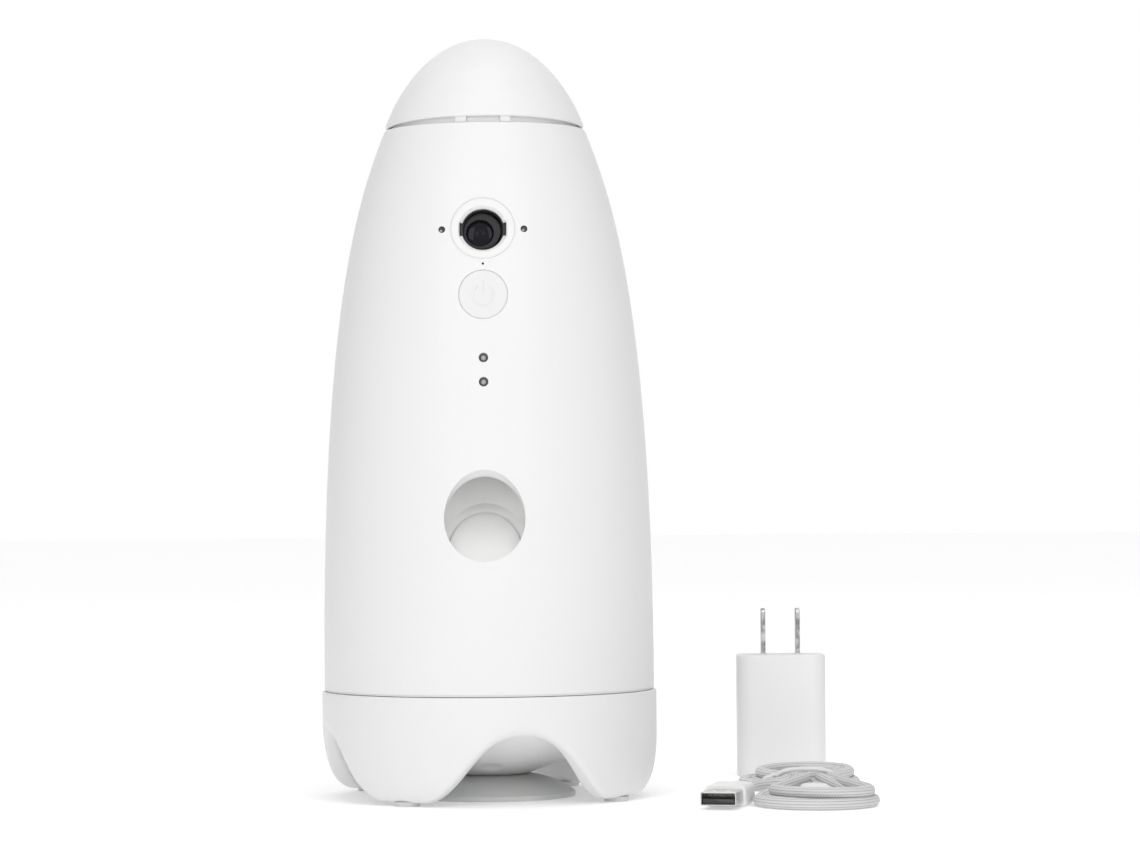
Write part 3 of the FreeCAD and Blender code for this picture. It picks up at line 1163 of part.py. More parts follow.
def cable_lead():
    """The stretch that isn't in the hank: straight runs joined by tangent arcs."""
    points = lead_points()
    edges, at = [], points[0]
    for before, corner, after in zip(points, points[1:], points[2:]):
        come, go = (before - corner), (after - corner)
        turn = math.pi - come.getAngle(go)
        cut = 0.45 * min(come.Length, go.Length)
        radius = cut / math.tan(turn / 2)
        print("cord arc radius", round(radius, 2))
        a, b = corner + come.normalize() * cut, corner + go.normalize() * cut
        middle = corner + (come + go).normalize() * (radius / math.cos(turn / 2) - radius)
        edges += [Part.LineSegment(at, a).toShape(), Part.Arc(a, middle, b).toShape()]
        at = b
    edges.append(Part.LineSegment(at, points[-1]).toShape())
    path = Part.Wire(edges)
    section = Part.Wire(Part.makeCircle(CORD_R, points[0], points[1] - points[0]))
    tube = path.makePipeShell([section], True, False)
    plain = math.pi * CORD_R ** 2 * path.Length
    print("cord tube's volume over its section times length", round(tube.Volume / plain, 4))
    return tube


def cable_tie():
    """The plastic tie round the hank's waist, with its twisted tail."""
    x, y = HANK_AT
    half, low, top = 10.0, 0.2, HANK_TALL + 0.2
    band = box(x - half - TIE_R, x + half + TIE_R, y - TIE_R, y + TIE_R, low, top + 2 * TIE_R)
    band = band.cut(box(x - half, x + half, y - 2, y + 2, low + 2 * TIE_R, top))
    tail = rod(1.0, V(x - half - 0.5, y, top - 0.5), V(x - half - 4.5, y - 2.5, top - 2.5))
    return fused(band, tail)


def edges_along_y(block):
    return [e for e in block.Edges if abs(e.tangentAt(e.FirstParameter).y) > 0.9]


def plug_bar(width, tall, start, end, radius, x=0.0, z=0.0):
    """A rounded bar on the plug's axis, from start to end past the cord's end."""
    block = box(x - width / 2, x + width / 2, start, end, z - tall / 2, z + tall / 2)
    if radius:
        block = block.makeFillet(radius, edges_along_y(block))
    before, end = lead_points()[-2:]
    block.rotate(V(0, 0, 0), UP, math.degrees(math.atan2(end.y - before.y, end.x - before.x)) - 90)
    block.translate(end)
    return block


def usb_a_plug():
    """The moulded grip with its collar, and the steel shell with two square windows and a tongue."""
    width, tall, long = USB_A
    grip = fused(plug_bar(14.0, 7.3, 6.0, 24.0, 2.0), plug_bar(6.8, 6.8, 0.0, 7.0, 3.2))
    shell = plug_bar(width, tall, 24.0, 24.0 + long, 0.4)
    shell = shell.cut(plug_bar(width - 0.7, tall - 0.7, 24.4, 40.0, 0))
    for side in (-1, 1):
        shell = shell.cut(plug_bar(2.3, 4, 29.0, 31.3, 0, side * 2.4, 2.0))
    return [grip, fused(shell, plug_bar(width - 0.75, 1.8, 24.2, 23.5 + long, 0, 0, -1.0))]


def usb_c_plug():
    """The small moulded grip and its oval steel tip, lying in the hank's lower eye."""
    x, y = HANK_AT[0] + USB_C_AT[0], HANK_AT[1] + USB_C_AT[1]
    body = box(x - 5.3, x + 5.3, y - 22.3, y - 5, 0.1, 6.3)
    body = body.makeFillet(2.2, edges_along_y(body))
    shell = slot_block(8.3, 2.5, V(x, y - 22.3, 3.2), V(x, y - 29.0, 3.2))
    stub = rod(CORD_R, V(x, y - 1, 3.1), V(x, HANK_AT[1] + USB_C_END, 3.1))
    return [fused(body, rod(2.9, V(x, y - 6, 3.1), V(x, y, 3.1)), stub),
            shell.cut(slot_block(7.7, 1.9, V(x, y - 23, 3.2), V(x, y - 30, 3.2)))]


# ================================================================ export
NODES = [
    base_shell, base_deck, deck_screws, spindle_screw, sun_gear, slide_ring, foot_pads,
    suction_cup, suction_stud, suction_nut,
    body_shell, tower_floor, tower_screws, chassis_posts, pan_motor, pan_bracket, pan_pinion,
    hopper_floor, feed_wheel, feed_shaft, feed_gear, feed_pinion, feed_motor, feed_bracket,
    hopper, wiper_plate, lid_dome, lid_plug, lid_seal,
    camera_bezel, camera_holder, lens_barrel, lens_glass, camera_board, ir_leds, microphone,
    power_button, tact_switch, main_board, board_parts, light_pipes,
    drop_chute, launch_channel, kicker, kicker_pin, solenoid_frame, solenoid_coil, plunger, plunger_spring,
    speaker, inlet_socket, inlet_board,
    adapter_shell, adapter_prongs, adapter_socket,
    cable_hank, cable_lead, cable_tie, usb_a_plug, usb_c_plug,
]


def main():
    os.makedirs("parts", exist_ok=True)
    for make in NODES:
        made = make()
        shape = Part.makeCompound(made) if isinstance(made, list) else made
        shape.exportStep(os.path.join("parts", make.__name__ + ".step"))


main()
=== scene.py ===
import json
from math import asin, atan, copysign, cos, degrees, hypot, pi, radians, sin, sqrt, tan

import bmesh
import bpy
import numpy as np
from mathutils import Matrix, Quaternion, Vector

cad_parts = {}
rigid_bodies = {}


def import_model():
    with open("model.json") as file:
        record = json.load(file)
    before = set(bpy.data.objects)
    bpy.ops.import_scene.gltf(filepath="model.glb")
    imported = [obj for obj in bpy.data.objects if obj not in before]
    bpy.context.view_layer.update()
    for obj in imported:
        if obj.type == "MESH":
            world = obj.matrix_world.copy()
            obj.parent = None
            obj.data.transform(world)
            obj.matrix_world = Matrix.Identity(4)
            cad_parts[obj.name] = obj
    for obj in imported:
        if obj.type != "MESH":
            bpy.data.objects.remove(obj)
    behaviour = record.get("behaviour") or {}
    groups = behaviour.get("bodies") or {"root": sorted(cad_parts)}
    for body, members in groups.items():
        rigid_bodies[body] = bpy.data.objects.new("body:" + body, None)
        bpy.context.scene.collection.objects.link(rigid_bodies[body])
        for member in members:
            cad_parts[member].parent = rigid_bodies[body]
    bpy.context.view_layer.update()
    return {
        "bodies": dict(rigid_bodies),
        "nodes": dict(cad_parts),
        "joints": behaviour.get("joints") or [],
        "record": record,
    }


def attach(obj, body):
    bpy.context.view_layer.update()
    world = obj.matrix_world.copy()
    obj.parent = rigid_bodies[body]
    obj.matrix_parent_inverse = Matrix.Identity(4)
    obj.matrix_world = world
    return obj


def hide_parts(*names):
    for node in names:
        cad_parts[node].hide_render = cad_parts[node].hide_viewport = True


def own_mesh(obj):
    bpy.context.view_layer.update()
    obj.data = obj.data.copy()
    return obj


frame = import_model()
scene = bpy.context.scene
MM = 0.001


def mm(*values):
    return tuple(v * MM for v in values)


def placed(name, data):
    """A new object in the scene."""
    obj = bpy.data.objects.new(name, data)
    scene.collection.objects.link(obj)
    return obj


# -------- camera, floor and lights
AXIS_AWAY = 1.310  # from the lens to the tower's axis
EYE_HIGH = 0.103
VIEW_TURN = radians(1.1)
LEAN = radians(-0.5)
SENSOR = 36.0
FRAME_WIDE, FOCAL, SHIFT_X, SHIFT_Y = 1140.0, 3771.0, 82.3, 71.5  # in pixels
LIGHT_AIM = (0.03, 0, 0.12)
SOFTBOXES = [("left_softbox", (-0.85, -2.0, 1.3), (0.8, 1.1), 6.9),  # name, place, size and power
             ("right_softbox", (0.95, -1.9, 1.4), (0.8, 1.1), 6.7), ("top_softbox", (0.1, -0.6, 2.0), (1.2, 1.2), 6)]
SIDE_WALLS = 0.33  # how bright they are, against 1 in front and behind
FLOOR_R, FLOOR_SIDES = 9.0, 64


def set_up_camera():
    data = bpy.data.cameras.new("camera")
    data.sensor_width = SENSOR
    data.lens = FOCAL / FRAME_WIDE * SENSOR
    data.shift_x, data.shift_y = SHIFT_X / FRAME_WIDE, SHIFT_Y / FRAME_WIDE
    data.clip_start, data.clip_end = 0.05, 30.0
    camera = placed("camera", data)
    way = Vector((-sin(VIEW_TURN), cos(VIEW_TURN), 0.0))
    camera.location = -way * AXIS_AWAY + Vector((0, 0, EYE_HIGH))
    camera.rotation_mode = "QUATERNION"
    camera.rotation_quaternion = way.to_track_quat("-Z", "Y") @ Quaternion((0, 0, 1), LEAN)
    scene.camera = camera


def light_the_studio():
    for name, at, size, power in SOFTBOXES:
        data = bpy.data.lights.new(name, "AREA")
        data.shape = "RECTANGLE"
        data.size, data.size_y = size
        data.energy = power
        light = placed(name, data)
        light.location = at
        light.rotation_mode = "QUATERNION"
        light.rotation_quaternion = (Vector(LIGHT_AIM) - Vector(at)).to_track_quat("-Z", "Y")
    scene.world = pale_surroundings()
    view = scene.view_settings
    view.view_transform, view.look, view.exposure = "Standard", "None", 0.0


def pale_surroundings():
    """White walls in front and behind, greyer ones at the left and right that draw the white edges."""
    world = bpy.data.worlds.new("studio")
    world.use_nodes = True
    tree = world.node_tree
    split = add(tree, "SeparateXYZ")
    tree.links.new(add(tree, "TexCoord").outputs["Generated"], split.inputs[0])
    level = spread(tree, sums(tree, "ABSOLUTE", split.outputs["X"]), 0.22, 0.8, 1.0, SIDE_WALLS)
    tree.links.new(level, tree.nodes["Background"].inputs["Strength"])
    tree.nodes["Background"].inputs["Color"].default_value = (1.0, 1.0, 1.0, 1)
    return world


def pale_floor():
    """A wide round floor; the pale studio is all that shows beyond it."""
    mesh = bpy.data.meshes.new("floor")
    mesh.from_pydata([(FLOOR_R * cos(a), FLOOR_R * sin(a), 0.0) for a in turns(FLOOR_SIDES)], [],
                     [list(range(FLOOR_SIDES))])
    floor = placed("floor", mesh)
    floor.data.materials.append(MATERIALS["floor"])


# -------- node groups
GROUPS = {}


def new_group(name, ins, outs):
    """An empty shader group, kept in GROUPS; what it is given and what it has to be fed to."""
    group = GROUPS[name] = bpy.data.node_groups.new(name, "ShaderNodeTree")
    for label, default in ins:
        socket = group.interface.new_socket(label, in_out="INPUT", socket_type="NodeSocketFloat")
        socket.default_value = default
    for label in outs:
        group.interface.new_socket(label, in_out="OUTPUT", socket_type="NodeSocketFloat")
    return group, group.nodes.new("NodeGroupInput").outputs, group.nodes.new("NodeGroupOutput").inputs


def add(tree, kind):
    return tree.nodes.new("ShaderNode" + kind)


def sums(tree, operation, a, b=None, clamp=False):
    """One math node; a and b are sockets or numbers."""
    node = add(tree, "Math")
    node.operation = operation
    node.use_clamp = clamp
    for k, value in enumerate((a, b)):
        if value is None:
            continue
        if isinstance(value, (int, float)):
            node.inputs[k].default_value = value
        else:
            tree.links.new(value, node.inputs[k])
    return node.outputs[0]


def times(tree, a, b, clamp=False):
    return sums(tree, "MULTIPLY", a, b, clamp)


def own_place(tree):
    return add(tree, "TexCoord").outputs["Object"]


def noise(tree, coordinate, scale, detail=2.0, rough=0.5):
    node = add(tree, "TexNoise")
    node.inputs["Detail"].default_value = detail
    node.inputs["Roughness"].default_value = rough
    if isinstance(scale, (int, float)):
        node.inputs["Scale"].default_value = scale
    else:
        tree.links.new(scale, node.inputs["Scale"])
    tree.links.new(coordinate, node.inputs["Vector"])
    return node.outputs["Fac"]


def spread(tree, value, low, high, to_low=0.0, to_high=1.0):
    node = add(tree, "MapRange")
    node.interpolation_type = "SMOOTHSTEP"
    tree.links.new(value, node.inputs["Value"])
    for label, number in (("From Min", low), ("From Max", high), ("To Min", to_low), ("To Max", to_high)):
        node.inputs[label].default_value = number
    return node.outputs["Result"]


def group_moulded_grain():
    """The fine spark texture of a moulded face, and the slow waviness of a thin wall."""
    group, given, to = new_group("moulded_grain", [("Size per metre", 2600.0), ("Waviness", 0.25)],
                                 ["Height", "Mottle"])
    at = own_place(group)
    fine = noise(group, at, given["Size per metre"], 2.5, 0.6)
    slow = noise(group, at, 28.0, 1.0)
    height = sums(group, "ADD", fine, times(group, slow, given["Waviness"]))
    group.links.new(height, to["Height"])
    group.links.new(noise(group, at, 11.0, 3.0, 0.55), to["Mottle"])


def group_edge_wear():
    """Where corners and rims are rubbed."""
    group, given, to = new_group("edge_wear", [("Amount", 1.0)], ["Mask"])
    sharp = add(group, "NewGeometry").outputs["Pointiness"]
    edges = spread(group, sharp, 0.52, 0.62)
    broken = spread(group, noise(group, own_place(group), 240.0, 3.0, 0.6), 0.38, 0.66)
    group.links.new(times(group, times(group, edges, broken), given["Amount"], True), to["Mask"])


def group_settled_dust():
    """A film of dust on faces that look up, thicker in hollows."""
    group, given, to = new_group("settled_dust", [("Amount", 0.3)], ["Mask"])
    geometry = add(group, "NewGeometry")
    split = add(group, "SeparateXYZ")
    group.links.new(geometry.outputs["Normal"], split.inputs[0])
    up = spread(group, split.outputs["Z"], 0.1, 0.95)
    hollow = spread(group, geometry.outputs["Pointiness"], 0.5, 0.42)
    cloud = spread(group, noise(group, own_place(group), 90.0, 4.0, 0.65), 0.35, 0.75)
    film = sums(group, "ADD", times(group, up, cloud), times(group, hollow, 0.6))
    group.links.new(times(group, film, given["Amount"], True), to["Mask"])


def group_braided_sleeve():
    """Chevrons of yarn in columns round a cord; U runs once round it and V along it in metres."""
    group, given, to = new_group("braided_sleeve", [("Columns", 12.0), ("Stitches per metre", 1150.0)],
                                 ["Height", "Gap"])
    split = add(group, "SeparateXYZ")
    group.links.new(add(group, "UVMap").outputs["UV"], split.inputs[0])
    column = times(group, split.outputs["X"], given["Columns"])
    across = sums(group, "FRACT", column)
    odd = sums(group, "MODULO", sums(group, "FLOOR", column), 2.0)
    side = sums(group, "SUBTRACT", times(group, odd, 2.0), 1.0)
    slant = times(group, sums(group, "SUBTRACT", across, 0.5), side)
    row = sums(group, "ADD", times(group, split.outputs["Y"], given["Stitches per metre"]), slant)
    bump_row = sums(group, "ABSOLUTE", sums(group, "SINE", times(group, row, pi)))
    bump_across = sums(group, "SINE", times(group, across, pi))
    round_yarn = sums(group, "POWER", times(group, bump_row, bump_across), 0.45)
    thread = times(group, sums(group, "SINE", times(group, row, pi * 8)), 0.06)
    group.links.new(sums(group, "ADD", round_yarn, thread), to["Height"])
    group.links.new(spread(group, round_yarn, 0.75, 0.2), to["Gap"])


def group_drawn_lines():
    """Fine lines left by rolling or turning, along one axis of the part."""
    group, given, to = new_group("drawn_lines", [("Along X", 1.0), ("Along Y", 1.0), ("Along Z", 0.04)],
                                 ["Height", "Streak"])
    stretch = add(group, "CombineXYZ")
    for k, label in enumerate(("Along X", "Along Y", "Along Z")):
        group.links.new(given[label], stretch.inputs[k])
    scaled = add(group, "VectorMath")
    scaled.operation = "MULTIPLY"
    group.links.new(own_place(group), scaled.inputs[0])
    group.links.new(stretch.outputs[0], scaled.inputs[1])
    lines = noise(group, scaled.outputs[0], 5200.0, 2.0, 0.6)
    group.links.new(lines, to["Height"])
    group.links.new(spread(group, lines, 0.3, 0.7), to["Streak"])


for make in (group_moulded_grain, group_edge_wear, group_settled_dust, group_braided_sleeve, group_drawn_lines):
    make()


# -------- materials
MATERIALS = {}
MOULDED_GRAIN, METAL_LINES, BRAID = 0.000004, 0.000002, 0.00016  # heights of relief
DUST = (0.60, 0.58, 0.54)


def grey(level):
    return (level,) * 3


class Finish:
    """One material, kept in MATERIALS: a shader, and small helpers to feed it."""

    def __init__(self, name, **uniform):
        material = MATERIALS[name] = bpy.data.materials.new(name)
        material.use_nodes = True
        self.tree = material.node_tree
        self.shader = self.tree.nodes["Principled BSDF"]
        for label, value in uniform.items():
            self.shader.inputs[label.replace("_", " ")].default_value = value

    def use(self, group, **settings):
        node = add(self.tree, "Group")
        node.node_tree = GROUPS[group]
        for label, value in settings.items():
            node.inputs[label.replace("_", " ")].default_value = value
        return node.outputs

    def blend(self, mask, first, second):
        """A colour between two: first is a colour or a socket, second a colour."""
        node = add(self.tree, "Mix")
        node.data_type = "RGBA"
        self.tree.links.new(mask, node.inputs["Factor"])
        if isinstance(first, tuple):
            node.inputs[6].default_value = (*first, 1)
        else:
            self.tree.links.new(first, node.inputs[6])
        node.inputs[7].default_value = (*second, 1)
        return node.outputs[2]

    def colour(self, socket):
        self.tree.links.new(socket, self.shader.inputs["Base Color"])

    def rough(self, value, low, high, to_low, to_high):
        self.tree.links.new(spread(self.tree, value, low, high, to_low, to_high), self.shader.inputs["Roughness"])

    def relief(self, height, distance):
        bump = add(self.tree, "Bump")
        bump.inputs["Distance"].default_value = distance
        bump.inputs["Strength"].default_value = 1.0
        self.tree.links.new(height, bump.inputs["Height"])
        self.tree.links.new(bump.outputs["Normal"], self.shader.inputs["Normal"])


def moulded(name, colour, shade, rough=(0.34, 0.44), wear=grey(0.85), rub=0.5, dust=0.25, **uniform):
    """Injection moulded plastic: two near colours, a fine grain, rubbed edges and a little dust."""
    f = Finish(name, **uniform)
    skin = f.use("moulded_grain")
    toned = f.blend(spread(f.tree, skin["Mottle"], 0.3, 0.7), colour, shade)
    worn = f.blend(f.use("edge_wear", Amount=rub)["Mask"], toned, wear)
    f.colour(f.blend(f.use("settled_dust", Amount=dust)["Mask"], worn, DUST))
    f.rough(skin["Mottle"], 0.3, 0.7, *rough)
    f.relief(skin["Height"], MOULDED_GRAIN)


def metal(name, colour, shade, rough=(0.22, 0.4)):
    f = Finish(name, Metallic=1.0)
    lines = f.use("drawn_lines")
    toned = f.blend(lines["Streak"], colour, shade)
    f.colour(f.blend(f.use("edge_wear", Amount=0.7)["Mask"], toned, (0.85, 0.85, 0.84)))
    f.rough(lines["Streak"], 0.0, 1.0, *rough)
    f.relief(lines["Height"], METAL_LINES)


def braided_cord():
    f = Finish("cord_braid", Sheen_Weight=0.25)
    weave = f.use("braided_sleeve")
    mottle = f.use("moulded_grain", Size_per_metre=900.0)["Mottle"]
    toned = f.blend(spread(f.tree, mottle, 0.3, 0.7), grey(0.84), (0.74, 0.74, 0.745))
    f.colour(f.blend(weave["Gap"], toned, (0.34, 0.34, 0.35)))
    f.rough(weave["Height"], 0.2, 1.0, 0.75, 0.42)
    f.relief(weave["Height"], BRAID)


def coated_glass():
    f = Finish("lens_glass", IOR=1.5, Specular_IOR_Level=0.12)
    skin = f.use("moulded_grain", Size_per_metre=500.0)
    f.colour(f.blend(spread(f.tree, skin["Mottle"], 0.35, 0.65), (0.006, 0.007, 0.011), (0.016, 0.012, 0.02)))
    f.rough(skin["Mottle"], 0.3, 0.7, 0.02, 0.06)


def studio_floor():
    """A pale table top that glows a little, as if lit from below, with a painted shadow: the glow is greyer under and
    close round the things that stand on it.
    """
    f = Finish("floor", Specular_IOR_Level=0.2, Emission_Strength=0.32)
    flat = add(f.tree, "VectorMath")
    flat.operation = "LENGTH"
    f.tree.links.new(own_place(f.tree), flat.inputs[0])
    # painted shadow: the glow is grey within 4 cm of the middle and fades to white by 16 cm
    painted_shadow_fade = spread(f.tree, flat.outputs["Value"], 0.04, 0.16)
    f.tree.links.new(f.blend(painted_shadow_fade, grey(0.75), (1, 1, 1)), f.shader.inputs["Emission Color"])
    skin = f.use("moulded_grain", Size_per_metre=900.0)
    f.colour(f.blend(skin["Mottle"], grey(0.86), grey(0.845)))
    f.rough(skin["Mottle"], 0.3, 0.7, 0.75, 0.85)


studio_floor()
moulded("shell_white", (0.80, 0.80, 0.798), grey(0.788), rub=0.12, dust=0.12, Specular_IOR_Level=0.3)
moulded("inner_white", (0.86, 0.86, 0.855), (0.835, 0.835, 0.83), (0.42, 0.55), rub=0.1, dust=0.1)
moulded("lens_holder", (0.018, 0.018, 0.02), (0.026, 0.026, 0.028), (0.3, 0.42), grey(0.06), dust=0.02,
        Specular_IOR_Level=0.3)
coated_glass()
moulded("clear_lamp", (0.62, 0.64, 0.66), (0.55, 0.57, 0.6), (0.1, 0.2), dust=0.1, Transmission_Weight=0.35, IOR=1.49)
moulded("circuit_board", (0.012, 0.11, 0.045), (0.01, 0.085, 0.035), (0.3, 0.42), (0.3, 0.33, 0.2))
moulded("chip_black", (0.02, 0.02, 0.022), (0.032, 0.032, 0.034), (0.4, 0.6), grey(0.1))
moulded("soft_silicone", (0.68, 0.69, 0.69), (0.62, 0.63, 0.63), (0.42, 0.58), dust=0.4)
moulded("acetal", (0.78, 0.76, 0.69), (0.73, 0.71, 0.64), (0.25, 0.36))
metal("screw_steel", (0.60, 0.60, 0.58), (0.48, 0.48, 0.47))
metal("sheet_steel", (0.66, 0.66, 0.65), (0.55, 0.55, 0.54), (0.25, 0.42))
metal("motor_can", grey(0.56), (0.44, 0.44, 0.45), (0.3, 0.45))
moulded("coil_tape", (0.50, 0.22, 0.03), (0.42, 0.17, 0.025), (0.2, 0.35), (0.6, 0.35, 0.1))
moulded("adapter_plastic", grey(0.79), (0.77, 0.77, 0.772), (0.33, 0.43), rub=0.1)
braided_cord()
moulded("tie_plastic", grey(0.78), grey(0.72), (0.25, 0.36))
moulded("button_white", grey(0.755), grey(0.745), rub=0.1, dust=0.1)
moulded("smoked_lens", (0.075, 0.075, 0.078), (0.055, 0.055, 0.058), (0.12, 0.2), grey(0.2), dust=0.02)
metal("blade_nickel", grey(0.42), (0.16, 0.16, 0.165), (0.2, 0.45))
moulded("orange_resin", (0.75, 0.20, 0.07), (0.66, 0.15, 0.05), (0.2, 0.3), (0.8, 0.4, 0.2), dust=0.05)
moulded("plug_grip", grey(0.84), grey(0.81))


def paint_the_frame():
    """Every node of the frame takes the finish of its slot in the record."""
    slot_of = {part["node"]: part["material_slot"] for part in frame["record"]["subparts"]}
    for name, node in frame["nodes"].items():
        for place in node.material_slots:
            place.link = "OBJECT"
            place.material = MATERIALS[slot_of[name]]


# -------- making pieces
def piece(name, form, body, slot, smooth_angle=None, *replaced, finish=None):
    """Links a mesh, or several as one, as a piece that rides on a body and wears a slot's finish or another."""
    mesh = merged(form) if isinstance(form, list) else form
    mesh.name = name
    obj = placed(name, mesh)
    if smooth_angle is not None:
        mesh.shade_smooth()
        mesh.set_sharp_from_angle(angle=radians(smooth_angle))
    mesh.materials.append(MATERIALS[finish or slot])
    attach(obj, body)
    if replaced:
        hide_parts(*replaced)
    return obj


def spline_points(route, resolution):
    """The points of a smooth line through the route, read from its spline."""
    curve = bpy.data.curves.new("line", "CURVE")
    curve.dimensions = "3D"
    curve.resolution_u = resolution
    spline = curve.splines.new("NURBS")
    spline.points.add(len(route) - 1)
    for point, at in zip(spline.points, route):
        point.co = (*at, 1.0)
    spline.order_u = 3
    spline.use_endpoint_u = True
    holder = placed("line", curve)
    bpy.context.view_layer.update()
    read = bpy.data.meshes.new_from_object(holder.evaluated_get(bpy.context.evaluated_depsgraph_get()))
    points = [v.co.copy() for v in read.vertices]
    bpy.data.objects.remove(holder)
    bpy.data.curves.remove(curve)
    bpy.data.meshes.remove(read)
    return points


def tube(points, radius, sides):
    """A tube along the points, with U once round it and V along it in metres."""
    path = [Vector(p) for p in points]
    ways = [(b - a).normalized() for a, b in zip(path, path[1:])]
    ways = [ways[0]] + [(a + b).normalized() for a, b in zip(ways, ways[1:])] + [ways[-1]]
    across = ways[0].orthogonal().normalized()
    verts, along, far = [], [], 0.0
    for k, (at, way) in enumerate(zip(path, ways)):
        across = (across - way * across.dot(way)).normalized()
        other = way.cross(across)
        far += (at - path[k - 1]).length if k else 0.0
        along.append(far)
        for a in turns(sides):
            verts.append(at + (across * cos(a) + other * sin(a)) * radius)
    faces, uvs = [], []
    for k in range(len(path) - 1):
        for j in range(sides):
            n = (j + 1) % sides
            faces.append((k * sides + j, k * sides + n, (k + 1) * sides + n, (k + 1) * sides + j))
            u0, u1 = j / sides, (j + 1) / sides
            uvs += [(u0, along[k]), (u1, along[k]), (u1, along[k + 1]), (u0, along[k + 1])]
    last = (len(path) - 1) * sides
    for ring, v in ((list(range(sides - 1, -1, -1)), 0.0), ([last + j for j in range(sides)], far)):
        faces.append(ring)
        uvs += [(0.5, v)] * sides
    mesh = bpy.data.meshes.new("tube")
    mesh.from_pydata(verts, [], faces)
    layer = mesh.uv_layers.new(name="UVMap")
    layer.data.foreach_set("uv", [c for uv in uvs for c in uv])
    mesh.shade_smooth()
    return mesh, far


# -------- the lead and its hank
HANK_AT = (108.5, -12.0)
CORD_R = 1.95
# Places at the tie of the strands that go up and of those that come down: x and height.
UPS = [(-0.8, 3.75), (2.8, 3.75), (6.4, 3.75), (4.6, 6.45), (8.0, 6.45)]
DOWNS = [(-2.6, 6.45), (-4.4, 3.75), (-8.0, 3.75), (1.0, 6.45), (-6.2, 6.45)]
# Loops away from the plugs: left and right side, reach, lean, and the height at left, end and right.
UPPER = [(-11.2, 12.4, 50.2, 1.5, 2.0, 2.0, 2.0), (-15.1, 16.2, 55.0, 0.4, 2.0, 2.0, 2.0),
         (-19.0, 20.0, 59.6, -1.0, 2.0, 2.0, 2.0), (-7.4, 14.2, 47.6, 2.2, 2.0, 5.4, 5.4),
         (-13.1, 18.0, 61.0, 2.4, 5.4, 5.7, 5.4)]
LOWER = [(-11.0, 12.7, 53.6, 1.0, 2.0, 2.0, 2.0), (-14.8, 16.4, 57.4, 1.8, 2.0, 2.0, 2.0),
         (-18.0, 20.1, 61.3, 0.8, 2.0, 2.0, 2.0), (-13.0, 18.2, 58.6, 3.0, 5.4, 5.5, 5.4)]
SIDES = [(11.0, 0.27), (22.0, 0.61), (33.0, 0.90)]  # distance from the tie and share of the loop's width
SHOULDER = 41.5
LEAD = [(-7.0, -3.2, 5.0), (-15.9, -5.9, 4.6), (-22.0, -12.5, 3.7), (-24.1, -21.6, 3.7)]


def one_loop(start, finish, first, last, reach, lean, heights, way):
    """Out along one side, round the end and back, from waist to waist."""
    z_first, z_end, z_last = heights
    points = [(start[0] + (first - start[0]) * e, way * y, start[1] + (z_first - start[1]) * min(1.0, 1.25 * e))
              for y, e in SIDES]
    middle, half = (first + last) / 2, (last - first) / 2
    for k in range(7):
        a = pi * k / 6
        rise = sin(a)
        z = z_first + (z_end - z_first) * min(1, a / 1.3) if a < pi / 2 else \
            z_last + (z_end - z_last) * min(1, (pi - a) / 1.3)
        points.append((middle - half * 1.03 * cos(a) + lean * rise,
                       way * (SHOULDER + (reach - SHOULDER) * 1.02 * rise), z))
    points += [(finish[0] + (last - finish[0]) * e, way * y, finish[1] + (z_last - finish[1]) * min(1.0, 1.25 * e))
               for y, e in reversed(SIDES)]
    return points + [(finish[0], 0.0, finish[1])]


def hank_route():
    """From the small plug, up through the tie, five loops one way and four the other, and out to the big plug."""
    points = [(1.5, -18.9, 3.2), (1.4, -14.0, 3.2), (0.8, -8.0, 3.5), (-0.8, 0.0, 3.75)]
    for k, (left, right, reach, lean, z_left, z_end, z_right) in enumerate(UPPER):
        points += one_loop(UPS[k], DOWNS[k], right, left, reach, lean, (z_right, z_end, z_left), 1)
        if k < len(LOWER):
            left, right, reach, lean, z_left, z_end, z_right = LOWER[k]
            points += one_loop(DOWNS[k], UPS[k + 1], left, right, reach, lean, (z_left, z_end, z_right), -1)
    points += LEAD
    return [mm(HANK_AT[0] + x, HANK_AT[1] + y, z) for x, y, z in points]


def braided_lead():
    line = spline_points(hank_route(), 10)
    mesh, length = tube(line, CORD_R * MM, 14)
    lead = piece("braided_lead", mesh, "base", "cord_braid", None, "cable_hank", "cable_lead")
    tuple(line[0])
    return length


# -------- shapes
def turns(count):
    """Angles at even steps round a circle."""
    return [2 * pi * j / count for j in range(count)]


def headed(r, phi, z, at=(0.0, 0.0)):
    """The point at a radius and a height, phi round from the front."""
    return (at[0] + r * sin(phi), at[1] - r * cos(phi), z)


def turned_rings(profile, sectors, at=(0.0, 0.0)):
    """Rings about an upright axis from a profile of radius and height."""
    return [[headed(r, phi, z, at) for phi in turns(sectors)] for r, z in profile]


def loft(rings, closed=False):
    """Skins rings of points of one count, in millimetres, faces outwards; closed joins the last to the first."""
    count = len(rings[0])
    verts = [mm(*p) for ring in rings for p in ring]
    faces = []
    for k in range(len(rings) if closed else len(rings) - 1):
        a, b = k * count, (k + 1) % len(rings) * count
        faces += [(a + j, a + (j + 1) % count, b + (j + 1) % count, b + j) for j in range(count)]
    if not closed:
        faces.append(tuple(range(count - 1, -1, -1)))
        faces.append(tuple(len(verts) - count + j for j in range(count)))
    mesh = bpy.data.meshes.new("form")
    mesh.from_pydata(verts, [], faces)
    mesh.validate()
    work = bmesh.new()
    work.from_mesh(mesh)
    bmesh.ops.remove_doubles(work, verts=work.verts, dist=2e-7)
    bmesh.ops.recalc_face_normals(work, faces=work.faces)
    work.to_mesh(mesh)
    work.free()
    return mesh


def merged(meshes):
    """Several meshes as one."""
    work = bmesh.new()
    for mesh in meshes:
        work.from_mesh(mesh)
    whole = bpy.data.meshes.new("form")
    work.to_mesh(whole)
    work.free()
    for mesh in meshes:
        bpy.data.meshes.remove(mesh)
    return whole


